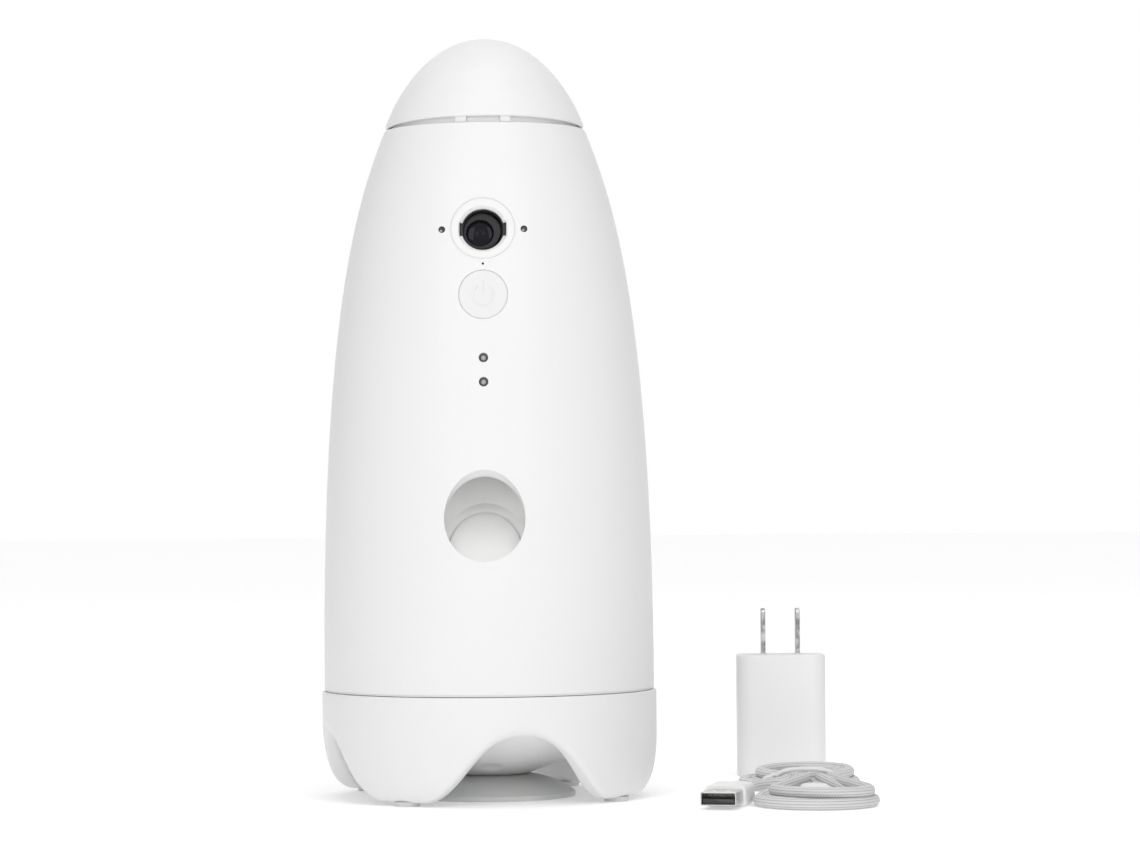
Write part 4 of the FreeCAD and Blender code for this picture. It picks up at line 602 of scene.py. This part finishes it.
def bezier(poles, count):
    """Points along a cubic or quadratic Bezier, ends included."""
    out = []
    for t in np.linspace(0, 1, count):
        pts = [np.array(p, float) for p in poles]
        while len(pts) > 1:
            pts = [a * (1 - t) + b * t for a, b in zip(pts, pts[1:])]
        out.append(tuple(pts[0]))
    return out


def corner(before, at, after, size, steps=6):
    """Points of a rounded corner of a profile, starting and ending size away from it."""
    before, at, after = (np.array(p, float) for p in (before, at, after))
    a = at + (before - at) / np.linalg.norm(before - at) * size
    b = at + (after - at) / np.linalg.norm(after - at) * size
    return bezier([a, a + (at - a) * 0.56, b + (at - b) * 0.56, b], steps)


def rounded_ring(half_x, half_y, radius, steps=7):
    """A rectangle with rounded corners, as points in a plane."""
    points = []
    for k, (sx, sy) in enumerate(((1, 1), (-1, 1), (-1, -1), (1, -1))):
        for j in range(steps):
            a = pi / 2 * (k + j / (steps - 1))
            points.append((sx * (half_x - radius) + radius * cos(a),
                           sy * (half_y - radius) + radius * sin(a)))
    return points


def bar_rings(half_x, half_y, radius, start, end, soft_start, soft_end, place, taper=0.0):
    """Rings of a rounded bar from start to end, both edges softened; place turns (x, y, along) into a point."""
    rings = []
    stations = [(start + soft_start * (1 - cos(a)), soft_start * (1 - sin(a)))
                for a in np.linspace(0, pi / 2, 5)]
    stations += [(end - soft_end * (1 - cos(a)), soft_end * (1 - sin(a)))
                 for a in np.linspace(pi / 2, 0, 5)]
    for along, inset in stations:
        thin = inset + taper * (along - start) / (end - start)
        rings.append([place(x, y, along) for x, y in
                      rounded_ring(half_x - thin, half_y - thin, max(0.05, radius - thin))])
    return rings


# -------- the tower's skin, in millimetres
TOWER_POLES = [(57.2, 37.5), (57.2, 164.2), (45.483, 204.4), (34.7, 230.7)]
TOWER_R, TOWER_Z = (np.array(c) for c in zip(*bezier(TOWER_POLES, 1500)))


def tower_radius(z):
    return float(np.interp(z, TOWER_Z, TOWER_R))


def down_to_skin(origin, out):
    """Slides a point along out until it is on the tower's outer skin."""
    origin, out = Vector(origin), Vector(out)
    low, high = -25.0, 25.0
    for _ in range(34):
        s = (low + high) / 2
        p = origin + out * s
        if hypot(p.x, p.y) < tower_radius(p.z):
            low = s
        else:
            high = s
    return origin + out * (low + high) / 2


LENS_Z = 193.6
LENS_SLOPE = atan((tower_radius(LENS_Z - 1) - tower_radius(LENS_Z + 1)) / 2)
LENS_OUT = Vector((0, -cos(LENS_SLOPE), sin(LENS_SLOPE)))
LENS_UP = Vector((0, sin(LENS_SLOPE), cos(LENS_SLOPE)))
LENS_FACE = Vector((0, -tower_radius(LENS_Z), LENS_Z))
EAR_X, EAR_U = 7.75, 2.4
GROOVE_SHIFT = 0.3
GROOVE_FLAT = 0.978
IR_X = 13.8


def lens_angles():
    """Angles round the lens, with close pairs where the ears begin and end."""
    edge = degrees(asin(EAR_U / EAR_X))
    ends = (edge, 180 - edge, 180 + edge, 360 - edge)
    angles = [a for a in np.arange(0, 360, 5.0) if all(abs((a - e + 180) % 360 - 180) > 1.2 for e in ends)]
    for e in ends:
        angles += [e - 0.35, e + 0.35]
    return [radians(a) for a in sorted(angles)], radians(edge)


def with_ears(radius, grow, angle, edge):
    """The round outline with the two square ears at its sides."""
    off = min(abs((angle + pi) % (2 * pi) - pi), abs((angle % (2 * pi)) - pi))
    return (EAR_X + grow) / cos(off) if off < edge else radius


def on_lens(radius, angle, depth, follow=False, shift=(0.0, 0.0), flat=1.0):
    """A point round the lens: depth behind the lens's face, or behind the curved skin if it follows that."""
    x, u = radius * cos(angle) + shift[0], radius * sin(angle) * flat + shift[1]
    spot = LENS_FACE + Vector((x, 0, 0)) + LENS_UP * u
    return (down_to_skin(spot, LENS_OUT) if follow else spot) - LENS_OUT * depth


def seam_step():
    """The step under the tower's edge that closes most of the seam over the base."""
    profile = [(55.6, 37.6), (55.6, 37.08), (56.72, 37.08), (56.84, 37.2), (56.84, 37.6)]
    piece("seam_step", loft(turned_rings(profile, 200), closed=True), "tower", "shell_white", 35)


# -------- lens group
def lens_ring():
    """The white ring, its soft outer edge, its inner bevel and its sleeve."""
    angles, edge = lens_angles()
    rings = [[on_lens(r, a, d, True) for a in angles] for r, d in ((11.24, 3.1), (11.24, 0.03), (11.18, 0.0))]
    groove = ((10.96, 0.02), (10.91, 0.2), (10.86, 0.26), (10.8, 0.2), (10.68, 0.0), (10.5, -0.1), (10.3, -0.14))
    rings += [[on_lens(r, a, d, True, (0.0, GROOVE_SHIFT), GROOVE_FLAT) for a in angles] for r, d in groove]
    rings += [[on_lens(r, a, d, True) for a in angles] for r, d in
              ((8.3, -0.15), (8.16, -0.12), (8.09, 0.0), (8.02, 0.04))]
    for grow, depth in ((0.66, 0.07), (0.45, 0.26), (0.05, 0.66), (0.0, 0.74), (0.0, 6.0)):
        rings.append([on_lens(with_ears(7.2, 0.05, a, edge) + grow * (0.35 if with_ears(0, 0, a, edge) else 1), a,
                              depth) for a in angles])
    rings += [[on_lens(8.65, a, 6.0) for a in angles], [on_lens(8.65, a, 3.1) for a in angles]]
    piece("lens_ring", loft(rings, closed=True), "tower", "shell_white", 21, "camera_bezel")


def lens_cup():
    """The black holder with its two ears, bored for the barrel."""
    angles, edge = lens_angles()
    rings = []
    for inset, depth in ((0.0, 9.9), (0.0, 1.75), (0.12, 1.45), (0.35, 1.32)):
        rings.append([on_lens(with_ears(7.15, 0.0, a, edge) - inset, a, depth) for a in angles])
    for r, depth in ((6.8, 1.32), (6.7, 1.42), (6.68, 1.6), (6.68, 6.5), (3.0, 6.6)):
        rings.append([on_lens(r, a, depth) for a in angles])
    piece("lens_cup", loft(rings), "tower", "lens_holder", 30, "camera_holder")


BARREL_SHIFT = (-0.36, 0.0)
GLASS_SHIFT = (-1.0, -0.6)


def barrel_and_glass():
    """The barrel's dark face with its stepped hood, and the domed front glass."""
    angles = [radians(a) for a in range(0, 360, 5)]

    def rings(profile, shift):
        return [[on_lens(r, a, d, shift=shift) for a in angles] for r, d in profile]
    hood = rings([(6.3, 8.8), (6.3, 3.2), (6.22, 3.04), (6.05, 3.0)], BARREL_SHIFT)
    hood += rings([(4.75, 3.0), (4.66, 3.08), (4.6, 3.3), (4.52, 4.2), (4.5, 6.2)], GLASS_SHIFT)
    piece("lens_barrel_face", loft(hood), "tower", "lens_holder", 28, "lens_barrel")
    dome = [(4.46, 6.4), (4.46, 4.75)]
    dome += [(r, 4.55 - 0.75 * sqrt(max(0.0, 1 - (r / 4.6) ** 2)) - (0.16 * sqrt(1 - (r / 1.25) ** 2)
             if r < 1.25 else 0)) for r in (4.4, 4.2, 3.8, 3.2, 2.6, 2.0, 1.6, 1.3, 1.2, 1.0, 0.75, 0.5, 0.25, 0.06)]
    piece("front_glass", loft(rings(dome, GLASS_SHIFT)), "tower", "lens_glass", 60, "lens_glass")


# -------- power button
BUTTON_Z = 171.4
BUTTON_SIDES, BUTTON_RINGS = 168, 58
STEM_R = 2.0


def button_point(x, u, depth):
    z = BUTTON_Z + u
    r = tower_radius(z) - depth
    return (x, -sqrt(max(1.0, r * r - x * x)), z)


def power_mark(x, u):
    """How far a point is inside the mark's line: a broken ring with a bar through the break."""
    u += 0.3
    ring = abs(hypot(x, u) - 3.5)
    if abs(x) < 1.9 and u > 0:
        ring = min(hypot(abs(x) - 1.9, u - 2.94), 9.0)
    bar = hypot(x, max(0.0, u - 4.6, 0.9 - u))
    return max(0.0, 0.42 - min(ring, bar))


def button_cap():
    """The cap, curved as the tower is, with the mark sunk into it, and its stem."""
    radii = list(np.linspace(0.12, 7.7, BUTTON_RINGS)) + [7.84, 7.96, 8.03, 8.07, 8.1, 8.22, 8.26, 8.26]
    sink = [0.05] * BUTTON_RINGS + [0.06, 0.1, 0.15, 0.2, 0.24, 0.25, 0.3, 2.3]
    rings = []
    for r, d in zip(radii, sink):
        spots = [(r * cos(a), r * sin(a)) for a in turns(BUTTON_SIDES)]
        rings.append([button_point(x, u, d + min(0.2, 0.95 * power_mark(x, u))) for x, u in spots])
    rings.append([button_point(4.0 * cos(a), 4.0 * sin(a), 2.35) for a in turns(BUTTON_SIDES)])
    stem = [[(STEM_R * cos(a), y, BUTTON_Z + STEM_R * sin(a)) for a in turns(24)]
            for y in (-tower_radius(BUTTON_Z) + 2.0, -35.4)]
    piece("button_cap", [loft(rings), loft(stem)], "button", "shell_white", 40, "power_button", finish="button_white")


def face_rings(x, z, profile):
    """Rings about a spot on the tower's front, from radius, depth, drop and how far aside."""
    skin = -sqrt(tower_radius(z) ** 2 - x * x)
    return [[(x + r * cos(a) + aside, skin + depth, z - drop + r * sin(a)) for a in turns(32)]
            for r, depth, drop, aside in profile]


def dark_cup(outer, inner, front):
    """Profile of a dark ring with a sloping mouth."""
    return [(outer, front + 1.6, 0, 0), (outer, front + 0.08, 0, 0), (outer - 0.06, front, 0, 0),
            (inner + 0.12, front + 0.25, 0.1, 0), (inner, front + 0.5, 0.14, 0), (inner, front + 1.6, 0.14, 0)]


def status_windows():
    """The ends of the two light guides, each in a dark ring."""
    rings, guides = [], []
    for z in (150.2, 142.1):
        rings.append(loft(face_rings(0, z, dark_cup(1.56, 0.92, 0.35)), closed=True))
        dome = [(1.5, 12.0, 0, 0), (1.5, 2.0, 0, 0), (0.9, 1.9, 0.14, 0), (0.9, 0.95, 0.14, 0)]
        dome += [(0.9 * cos(a), 0.95 - 0.4 * sin(a), 0.14, 0) for a in np.linspace(0.2, 1.5, 8)]
        guides.append(loft(face_rings(0, z, dome)))
    piece("window_rings", rings, "tower", "clear_lamp", 40, finish="smoked_lens")
    piece("light_guides", guides, "tower", "clear_lamp", 50, "light_pipes")


def infrared_lamps():
    """Two smoked lamps behind their holes, with the pale die showing low in each."""
    lamps, dies = [], []
    for side in (-1, 1):
        dome = [(1.07, 20.0, 0, 0), (1.07, 1.3, 0, 0)]
        dome += [(1.07 * cos(a), 1.2 - 0.3 * sin(a), 0, 0) for a in np.linspace(0.1, 1.5, 8)]
        lamps.append(loft(face_rings(side * IR_X, LENS_Z, dome)))
        die = [(0.5 * cos(a), 0.98 - 0.16 * sin(a), 0.42, -0.3) for a in np.linspace(0.0, 1.5, 6)]
        dies.append(loft(face_rings(side * IR_X, LENS_Z, [(0.5, 1.15, 0.42, -0.3)] + die)))
    piece("infrared_lamps", lamps, "tower", "clear_lamp", 50, "ir_leds", finish="smoked_lens")
    piece("lamp_dies", dies, "tower", "clear_lamp", 50)


# -------- base
BASE_TURN = radians(13.1)
SIDE_POLES = [(58.0, 33.0), (58.0, 13.0), (58.3, 3.6), (54.0, 1.5)]
HUB_R, HUB_Z = 13.0, 7.9
BOWL_R, BOWL_RISE, BOWL_CURVE = 58.0, 17.1, 1.03
LEG_INSIDE, ARCH_DEEPER, LEG_BLEND = 43.0, 7.0, 6.0
DIMPLE_OUT, DIMPLE_ASIDE = 22.4, 0.7  # where its middle is under the bowl
DIMPLE_R, DIMPLE_HALF = 8.0, 4.4  # of the ball, and half of its width at the bowl
FEET_R = 51.0


def soft_max(a, b, k):
    h = max(k - abs(a - b), 0.0) / k
    return max(a, b) + h * h * k * 0.25


def bowl_height(r):
    return HUB_Z + BOWL_RISE * max(0.0, (r - HUB_R) / (BOWL_R - HUB_R)) ** BOWL_CURVE


def arch_at(phi):
    """1 in the middle of an arch, 0 in the middle of a leg."""
    wave = 0.5 + 0.5 * cos(4 * (phi - BASE_TURN))
    return wave ** (1.5 - 0.75 * wave ** 2)


def underside(r, phi):
    """Height of the base's underside: a bowl, four legs with arches between them, and the finger dimple."""
    arch = arch_at(phi)
    s = min(1.0, max(0.0, (r - LEG_INSIDE - ARCH_DEEPER * arch) / LEG_BLEND))
    z = bowl_height(r)
    z = soft_max(z - (z - 0.4) * (1 - arch) * s * s * (3 - 2 * s), 1.25, 0.8)
    dx, dy = r * sin(phi) - DIMPLE_ASIDE, -r * cos(phi) + DIMPLE_OUT
    if hypot(dx, dy) < 7:
        ball = DIMPLE_R ** 2 - (dx - DIMPLE[0]) ** 2 - (dy - DIMPLE[1]) ** 2
        z = soft_max(z, DIMPLE[2] + sqrt(max(0.0, ball)), 0.35)
    return z


def dimple_centre():
    """The ball that presses the dimple, square to the bowl, measured from the dimple's middle."""
    slope = atan(bowl_height(23.0) - bowl_height(22.0))
    below = sqrt(DIMPLE_R ** 2 - DIMPLE_HALF ** 2)
    return (0.0, -sin(slope) * below, bowl_height(DIMPLE_OUT) - cos(slope) * below)


DIMPLE = dimple_centre()


def leg_section(phi):
    """The outline of the base cut at one heading: down the side, round the edge, in along the underside."""
    side = [np.array(p) for p in bezier(SIDE_POLES, 60)]
    inward = [np.array((r, underside(r, phi))) for r in np.linspace(59.0, 12.0, 150)]
    meet = next((k for k, p in enumerate(side) if p[1] <= underside(p[0], phi)), len(side) - 1)
    at = side[meet]
    start = next(k for k, p in enumerate(inward) if p[0] <= at[0])
    path = side[:meet] + [at] + inward[start:]
    lengths = [0.0]
    for a, b in zip(path, path[1:]):
        lengths.append(lengths[-1] + float(np.linalg.norm(b - a)))
    path, lengths = np.array(path), np.array(lengths)
    edge = lengths[meet]

    def spot(s):
        return np.array([np.interp(s, lengths, path[:, 0]), np.interp(s, lengths, path[:, 1])])
    round_off = min(1.2 + 1.9 * arch_at(phi) ** 0.6, edge * 0.45)
    a, b = spot(edge - round_off), spot(edge + round_off)
    knee = spot(edge)
    points = [spot(s) for s in np.linspace(0, edge - round_off, 16)]
    points += [np.array(p) for p in bezier([a, a + (knee - a) * 0.62, b + (knee - b) * 0.62, b], 11)[1:-1]]
    points += [spot(s) for s in np.linspace(edge + round_off, lengths[-1], 58)]
    return points


def legged_base():
    """The moulded base: rim, side, legs with soft arch edges, bowl and dimple."""
    rim = [(0.02, 12.2), (16.0, 12.2), (50.0, 24.2), (55.3, 28.0), (55.3, 36.5)]
    rim += corner((55.3, 30.0), (55.3, 36.9), (58.0, 36.9), 0.3, 4)
    rim += corner((55.0, 36.9), (58.0, 36.9), (58.0, 30.0), 0.6)
    columns = []
    for turn in turns(300):
        phi = turn + BASE_TURN
        points = rim + leg_section(phi) + [(6.0, HUB_Z), (0.02, HUB_Z)]
        columns.append([headed(r, phi, z) for r, z in points])
    piece("legged_base", loft([list(ring) for ring in zip(*columns)]), "base", "shell_white", 50, "base_shell")


def foot_rings():
    """Four soft pads, each a disc under a thin collar."""
    pads = []
    for k in range(4):
        at = headed(FEET_R, BASE_TURN + radians(45 + 90 * k), 0.0)
        profile = [(2.6, 3.2), (2.6, 1.75)] + corner((2.0, 1.62), (4.35, 1.62), (4.35, 0.0), 0.2, 4)
        profile += corner((4.35, 1.3), (4.35, 1.05), (4.0, 1.05), 0.12, 3) + [(4.2, 1.0)]
        profile += corner((4.15, 0.8), (4.1, 0.0), (0.0, 0.0), 0.35, 5) + [(3.2, 0.0), (3.0, 0.22), (0.02, 0.22)]
        pads.append(loft(turned_rings(profile, 48, at)))
    piece("foot_rings", pads, "base", "soft_silicone", 35, "foot_pads")


def sucker():
    """The soft cup: a thin lip, an almost straight skirt and a neck."""
    skirt = bezier([(29.6, 1.7), (26.4, 4.2), (21.8, 6.6), (14.6, 7.7)], 24)
    profile = [(0.02, 4.0), (13.0, 3.4), (24.0, 1.2), (28.9, 0.05), (29.3, 0.0), (29.6, 0.3), (29.68, 1.0)]
    profile += skirt + [(12.6, 7.85), (0.02, 7.85)]
    piece("sucker", loft(turned_rings(profile, 160)), "base", "soft_silicone", 40, "suction_cup")


# -------- lid
RIM_DROP, RIM_Z = 1.3, 232.7
DOME_TOP, DOME_INSIDE = 262.5, 260.5
BAND_R = 32.4


def domed_lid():
    """The dome with a soft rolled rim, which dips towards the two sides."""
    outer = bezier([(34.5, RIM_Z), (31.1, 240.8), (20.25, DOME_TOP), (0.02, DOME_TOP)], 70)
    keep = [p for p in outer if p[1] > 234.0]
    rim = corner((BAND_R, RIM_Z), (34.5, RIM_Z), keep[0], 1.25, 8)
    inner = bezier([(32.5, 234.0), (29.3, 241.6), (19.0, DOME_INSIDE), (0.02, DOME_INSIDE)], 40)
    profile = inner[::-1] + corner((32.5, 236.0), (32.45, RIM_Z), (34.0, RIM_Z), 0.4, 4) + rim + keep
    rings = []
    for ring in turned_rings(profile, 200):
        side = [abs(x) / max(hypot(x, y), 0.01) for x, y, z in ring]
        low = [RIM_DROP * s ** 3 * max(0.0, (240.0 - z) / 7.3) for s, (x, y, z) in zip(side, ring)]
        rings.append([(x * (1 + 0.006 * d), y * (1 + 0.006 * d), z - d) for d, (x, y, z) in zip(low, ring)])
    piece("domed_lid", loft(rings), "lid", "shell_white", 45, "lid_dome")


def lid_catches():
    """The plug's band with two small catches and a witness line, seen through the gap under the dome."""
    band = [(31.87, 230.8), (32.3, 230.8), (BAND_R, 230.9), (BAND_R, 232.9), (31.87, 232.9)]
    parts = [loft(turned_rings(band, 180), closed=True)]
    for middle, half, proud in ((-13.0, 3.3, 1.0), (13.4, 3.0, 1.0), (0.4, 0.28, 0.3)):
        block = [(32.0, 230.85), (BAND_R + proud, 230.85), (BAND_R + proud, RIM_Z), (32.0, RIM_Z)]
        parts.append(loft([[headed(r, a, z) for r, z in block]
                           for a in np.linspace(radians(middle - half), radians(middle + half), 9)]))
    piece("lid_catches", parts, "lid", "shell_white", 30)


# -------- treat outlet
CHANNEL_Y = -50.0
HINGE = (-48.3, 83.2)
PLATE_LEAN = radians(48.0)
OUTLET_Z, OUTLET_TILT = 97.5, radians(30)
OUTLET_FACE = Vector((0, -tower_radius(OUTLET_Z), OUTLET_Z))
OUTLET_OUT = Vector((0, -cos(OUTLET_TILT), sin(OUTLET_TILT)))
OUTLET_UP = Vector((0, sin(OUTLET_TILT), cos(OUTLET_TILT)))
BROW_FROM, BROW_TO, BROW_WALL = radians(-12), radians(192), 2.05


def outlet_brow():
    """The inner lip over the outlet: it deepens the bore at the top and dies out at its sides."""
    rings = []
    for a in np.linspace(BROW_FROM, BROW_TO, 61):
        deep = 0.25 + 2.7 * max(0.0, sin((a - BROW_FROM) / (BROW_TO - BROW_FROM) * pi)) ** 0.8
        away = Vector((cos(a), 0, 0)) + OUTLET_UP * sin(a)
        ring = []
        for radius, back in ((13.62, 0), (13.62, deep - 0.25), (13.72, deep - 0.06), (13.85, deep), (13.97, deep),
                             (14.2, 0.4), (14.2, 0)):
            skin = down_to_skin(OUTLET_FACE + away * radius, OUTLET_OUT)
            ring.append(skin - OUTLET_OUT * (BROW_WALL + back))
        rings.append(ring)
    piece("outlet_brow", loft(rings), "tower", "inner_white", 40)


PLATE_UP = 2.7  # the plate's face over its hinge plane
LEDGE_REACH, PLATE_REACH = 3.2, 3.3
PLATE_DISH = 0.22
BARREL = ((-12.3, 2.2), (-12.0, 2.5), (12.0, 2.5), (12.3, 2.2))  # along the hinge: place and radius


def plate_height(y):
    return HINGE[1] + PLATE_UP + tan(PLATE_LEAN) * (y - HINGE[0])


def channel_path(radius, reach, count=49):
    """Plan of the channel's wall at a radius: forward on one side, round the back, forward on the other."""
    straight = [(-radius, y) for y in np.linspace(CHANNEL_Y - reach, CHANNEL_Y, 6)][:-1]
    curve = [(-radius * cos(a), CHANNEL_Y + radius * sin(a)) for a in np.linspace(0, pi, count)]
    return straight + curve + [(-x, y) for x, y in reversed(straight)]


def channel_ledge():
    """The fixed ledge round the kicker plate, with a soft run-up to the channel's wall."""
    lines = []
    inner = channel_path(12.72, LEDGE_REACH)
    for radius, up in ((12.72, -3.2), (12.72, 0.9), (12.8, 1.2), (13.4, 2.3), (14.05, 3.5), (14.05, -3.2)):
        lines.append([(x, y, plate_height(at[1]) + up) for (x, y), at in zip(channel_path(radius, LEDGE_REACH), inner)])
    piece("channel_ledge", loft([list(p) for p in zip(*lines)]), "tower", "inner_white", 45)


def kicker_plate():
    """The dished plate that throws a treat, with its hinge barrel."""
    along = np.array((cos(PLATE_LEAN), sin(PLATE_LEAN)))
    off = np.array((-sin(PLATE_LEAN), cos(PLATE_LEAN)))
    middle = CHANNEL_Y + 3.5

    def ring(share, lift, dish=0.0):
        points = []
        for x, y in channel_path(12.42, PLATE_REACH, 41):
            s = (middle + (y - middle) * share - HINGE[0]) / along[0]
            yz = np.array(HINGE) + along * s + off * (lift - dish * (1 - share ** 2)) + np.array((0.0, PLATE_UP))
            points.append((x * share, yz[0], yz[1]))
        return points
    rings = [ring(share, lift) for share, lift in
             ((0.3, -1.6), (0.97, -1.6), (1.0, -1.4), (1.0, 0.72), (0.992, 0.9), (0.975, 0.99))]
    rings += [ring(share, 1.0, PLATE_DISH) for share in np.linspace(0.95, 0.02, 16)]
    barrel = [[(x, HINGE[0] + r * cos(a), HINGE[1] + r * sin(a)) for a in turns(32)] for x, r in BARREL]
    piece("kicker_plate", [loft(rings), loft(barrel)], "kicker_plate", "inner_white", 40, "kicker")


def return_spring():
    """The plunger's return spring."""
    radius, whole = 3.6, 10 * pi  # of the coils, and how far they turn
    route = [Vector((radius * cos(a), -6.6 + 11.2 * a / whole, 92.2 + radius * sin(a))) * MM
             for a in np.linspace(0, whole, 161)]
    mesh, _ = tube(route, 0.3 * MM, 8)
    coil = piece("return_spring", mesh, "tower", "screw_steel", 60, "plunger_spring")
    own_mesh(coil)


# -------- tie and plugs
TIE_TWIST = 2.6 * pi
WINDOWS, WINDOW_AT = (-2.4, 2.4), 30.15  # across and along the big plug's shell


def wire_tie():
    """A coated wire round the hank's waist, its ends twisted and folded down at the left."""
    x0, y0 = HANK_AT
    loop = []
    for turn in turns(28):
        a = turn + pi
        c, s = cos(a), sin(a)
        loop.append(mm(x0 + 10.1 * copysign(abs(c) ** 0.75, c), y0 + 0.5 * sin(2 * a),
                       5.1 + 4.15 * copysign(abs(s) ** 0.62, s)))
    parts = [tube(spline_points(loop + loop[:1], 6), 0.78 * MM, 12)[0]]
    start, end = Vector((x0 - 9.9, y0 + 0.2, 7.2)), Vector((x0 - 14.8, y0 - 3.6, 5.6))
    way = (end - start).normalized()
    across = way.orthogonal().normalized()
    other = way.cross(across)
    for phase in (0.0, pi):
        twist = []
        for t in np.linspace(0, 1, 19):
            a = phase + t * TIE_TWIST
            width = 0.55 if t < 0.92 else 0.42
            twist.append((start.lerp(end, t) + (across * cos(a) + other * sin(a)) * width) * MM)
        parts.append(tube(twist, 0.62 * MM, 10)[0])
    piece("wire_tie", parts, "base", "tie_plastic", 60, "cable_tie")


def plug_place():
    """Turns (across, up, along) of the big plug into a point, from the cord's end."""
    (ax, ay, _), (bx, by, bz) = LEAD[-2:]
    way = Vector((bx - ax, by - ay, 0)).normalized()
    across = Vector((-way.y, way.x, 0))
    end = Vector((HANK_AT[0] + bx, HANK_AT[1] + by, bz))
    return lambda x, y, along: end + across * x + Vector((0, 0, y)) + way * along


def big_plug():
    """The moulded grip with its collar, the folded steel shell and the contact tongue."""
    place = plug_place()
    collar = loft(bar_rings(3.4, 3.4, 3.2, -0.3, 7.0, 0.5, 0.1, place))
    grip = loft(bar_rings(7.0, 3.65, 2.0, 6.0, 24.0, 0.9, 0.5, place))
    piece("big_plug_grip", [collar, grip], "base", "plug_grip", 40)
    shell = bar_rings(6.0, 2.25, 0.45, 23.6, 36.2, 0.02, 0.12, place)
    inside = bar_rings(5.65, 1.9, 0.3, 24.2, 36.2, 0.02, 0.02, place)
    steel = [loft(shell + inside[::-1])]
    for x in WINDOWS:
        frame = [[place(x + sx, 2.25 + up, WINDOW_AT + sy) for sx, sy in rounded_ring(size, size, 0.2, 3)]
                 for size, up in ((1.42, -0.02), (1.36, 0.07), (1.2, 0.07), (1.15, -0.02))]
        steel.append(loft(frame, closed=True))
    steel.append(loft(bar_rings(0.12, 0.06, 0.02, 24.1, 36.1, 0.01, 0.01, lambda a, b, c: place(a, 2.27 + b, c))))
    piece("big_plug_shell", steel, "base", "sheet_steel", 35, "usb_a_plug")
    tongue = loft(bar_rings(5.4, 0.85, 0.1, 24.1, 35.6, 0.05, 0.1, lambda a, b, c: place(a, b - 0.9, c)))
    piece("big_plug_tongue", tongue, "base", "chip_black", 35)
    panes = [loft([[place(x + sx, up, WINDOW_AT + sy) for sx, sy in rounded_ring(1.17, 1.17, 0.15, 3)]
                   for up in (2.26, 2.0)]) for x in WINDOWS]
    piece("big_plug_windows", panes, "base", "plug_grip", 35, finish="orange_resin")


def small_plug():
    """The slim grip and neck of the small plug, and its oval steel tip."""
    x0, y0 = HANK_AT[0] + 1.5, HANK_AT[1] - 19.0

    def place(x, y, along):
        return Vector((x0 + x, y0 - along, 3.2 + y))
    grip = loft(bar_rings(5.3, 3.1, 2.2, 5.0, 22.3, 0.8, 0.5, place))
    neck = loft(bar_rings(2.9, 2.9, 2.8, -0.2, 6.0, 0.6, 0.1, place))
    piece("small_plug_grip", [grip, neck], "base", "plug_grip", 40)
    shell = bar_rings(4.15, 1.25, 1.24, 22.0, 29.0, 0.02, 0.15, place)
    inside = bar_rings(3.85, 0.95, 0.94, 23.5, 29.0, 0.02, 0.02, place)
    piece("small_plug_tip", loft(shell + inside[::-1]), "base", "sheet_steel", 35, "usb_c_plug")


# -------- wall adapter
ADAPTER_AT = (106.0, 86.0)
BLADE_HALF, BLADE_FOOT, BLADE_TIP = 3.17, 38.8, 58.6


def adapter_case():
    """The rounded case, standing on its port."""
    x0, y0 = ADAPTER_AT

    def outline(z, *size):
        return [Vector((x0 + x, y0 + y, z)) for x, y in rounded_ring(*size, 10)]
    rings = [outline(z, 6.65, 2.85, 0.4) for z in (12.0, 0.0)]
    rings += [outline(z, 16.15 - s, 10.5 - s, 5.5 - s) for z, s in
              ((0.0, 0.7), (0.12, 0.3), (0.4, 0.08), (0.7, 0.0), (44.1, 0.0), (44.4, 0.1), (44.65, 0.32), (44.8, 0.7))]
    piece("adapter_case", loft(rings), "base", "adapter_plastic", 30, "adapter_shell")


def adapter_blades():
    """Two folded steel blades with rounded tips, each in a small boss."""
    blades, bosses = [], []
    outline = [(-BLADE_HALF, BLADE_FOOT), (-BLADE_HALF, BLADE_TIP)]
    outline += [(-BLADE_HALF + 2.4 * (1 - cos(a)), BLADE_TIP + 0.8 + 2.4 * sin(a)) for a in np.linspace(0.2, pi / 2, 7)]
    edge = outline + [(-y, z) for y, z in reversed(outline)]
    for side in (-1, 1):
        x0, y0 = ADAPTER_AT[0] + side * 6.35, ADAPTER_AT[1]
        blades.append(loft([[(x0 + x, y0 + y * (1 - inset / BLADE_HALF), z - (inset if z > 45 else 0)) for y, z in edge]
                            for x, inset in ((-0.75, 0.16), (-0.62, 0.0), (0.62, 0.0), (0.75, 0.16))]))
        bosses.append(loft([[(x0 + x, y0 + y, z) for x, y in rounded_ring(1.35 - s, 3.85 - s, 1.2 - s, 6)]
                            for z, s in ((44.6, 0.0), (44.95, 0.0), (45.1, 0.18))]))
    piece("adapter_blades", blades, "base", "sheet_steel", 30, "adapter_prongs", finish="blade_nickel")
    piece("blade_bosses", bosses, "base", "adapter_plastic", 30)


paint_the_frame()
set_up_camera()
pale_floor()
light_the_studio()
print("lead", round(braided_lead(), 4))
for make in (wire_tie, big_plug, small_plug, legged_base, foot_rings, sucker, domed_lid, lid_catches, seam_step,
             lens_ring, lens_cup, barrel_and_glass, button_cap, status_windows, infrared_lamps, outlet_brow,
             channel_ledge, kicker_plate, return_spring, adapter_case, adapter_blades):
    make()
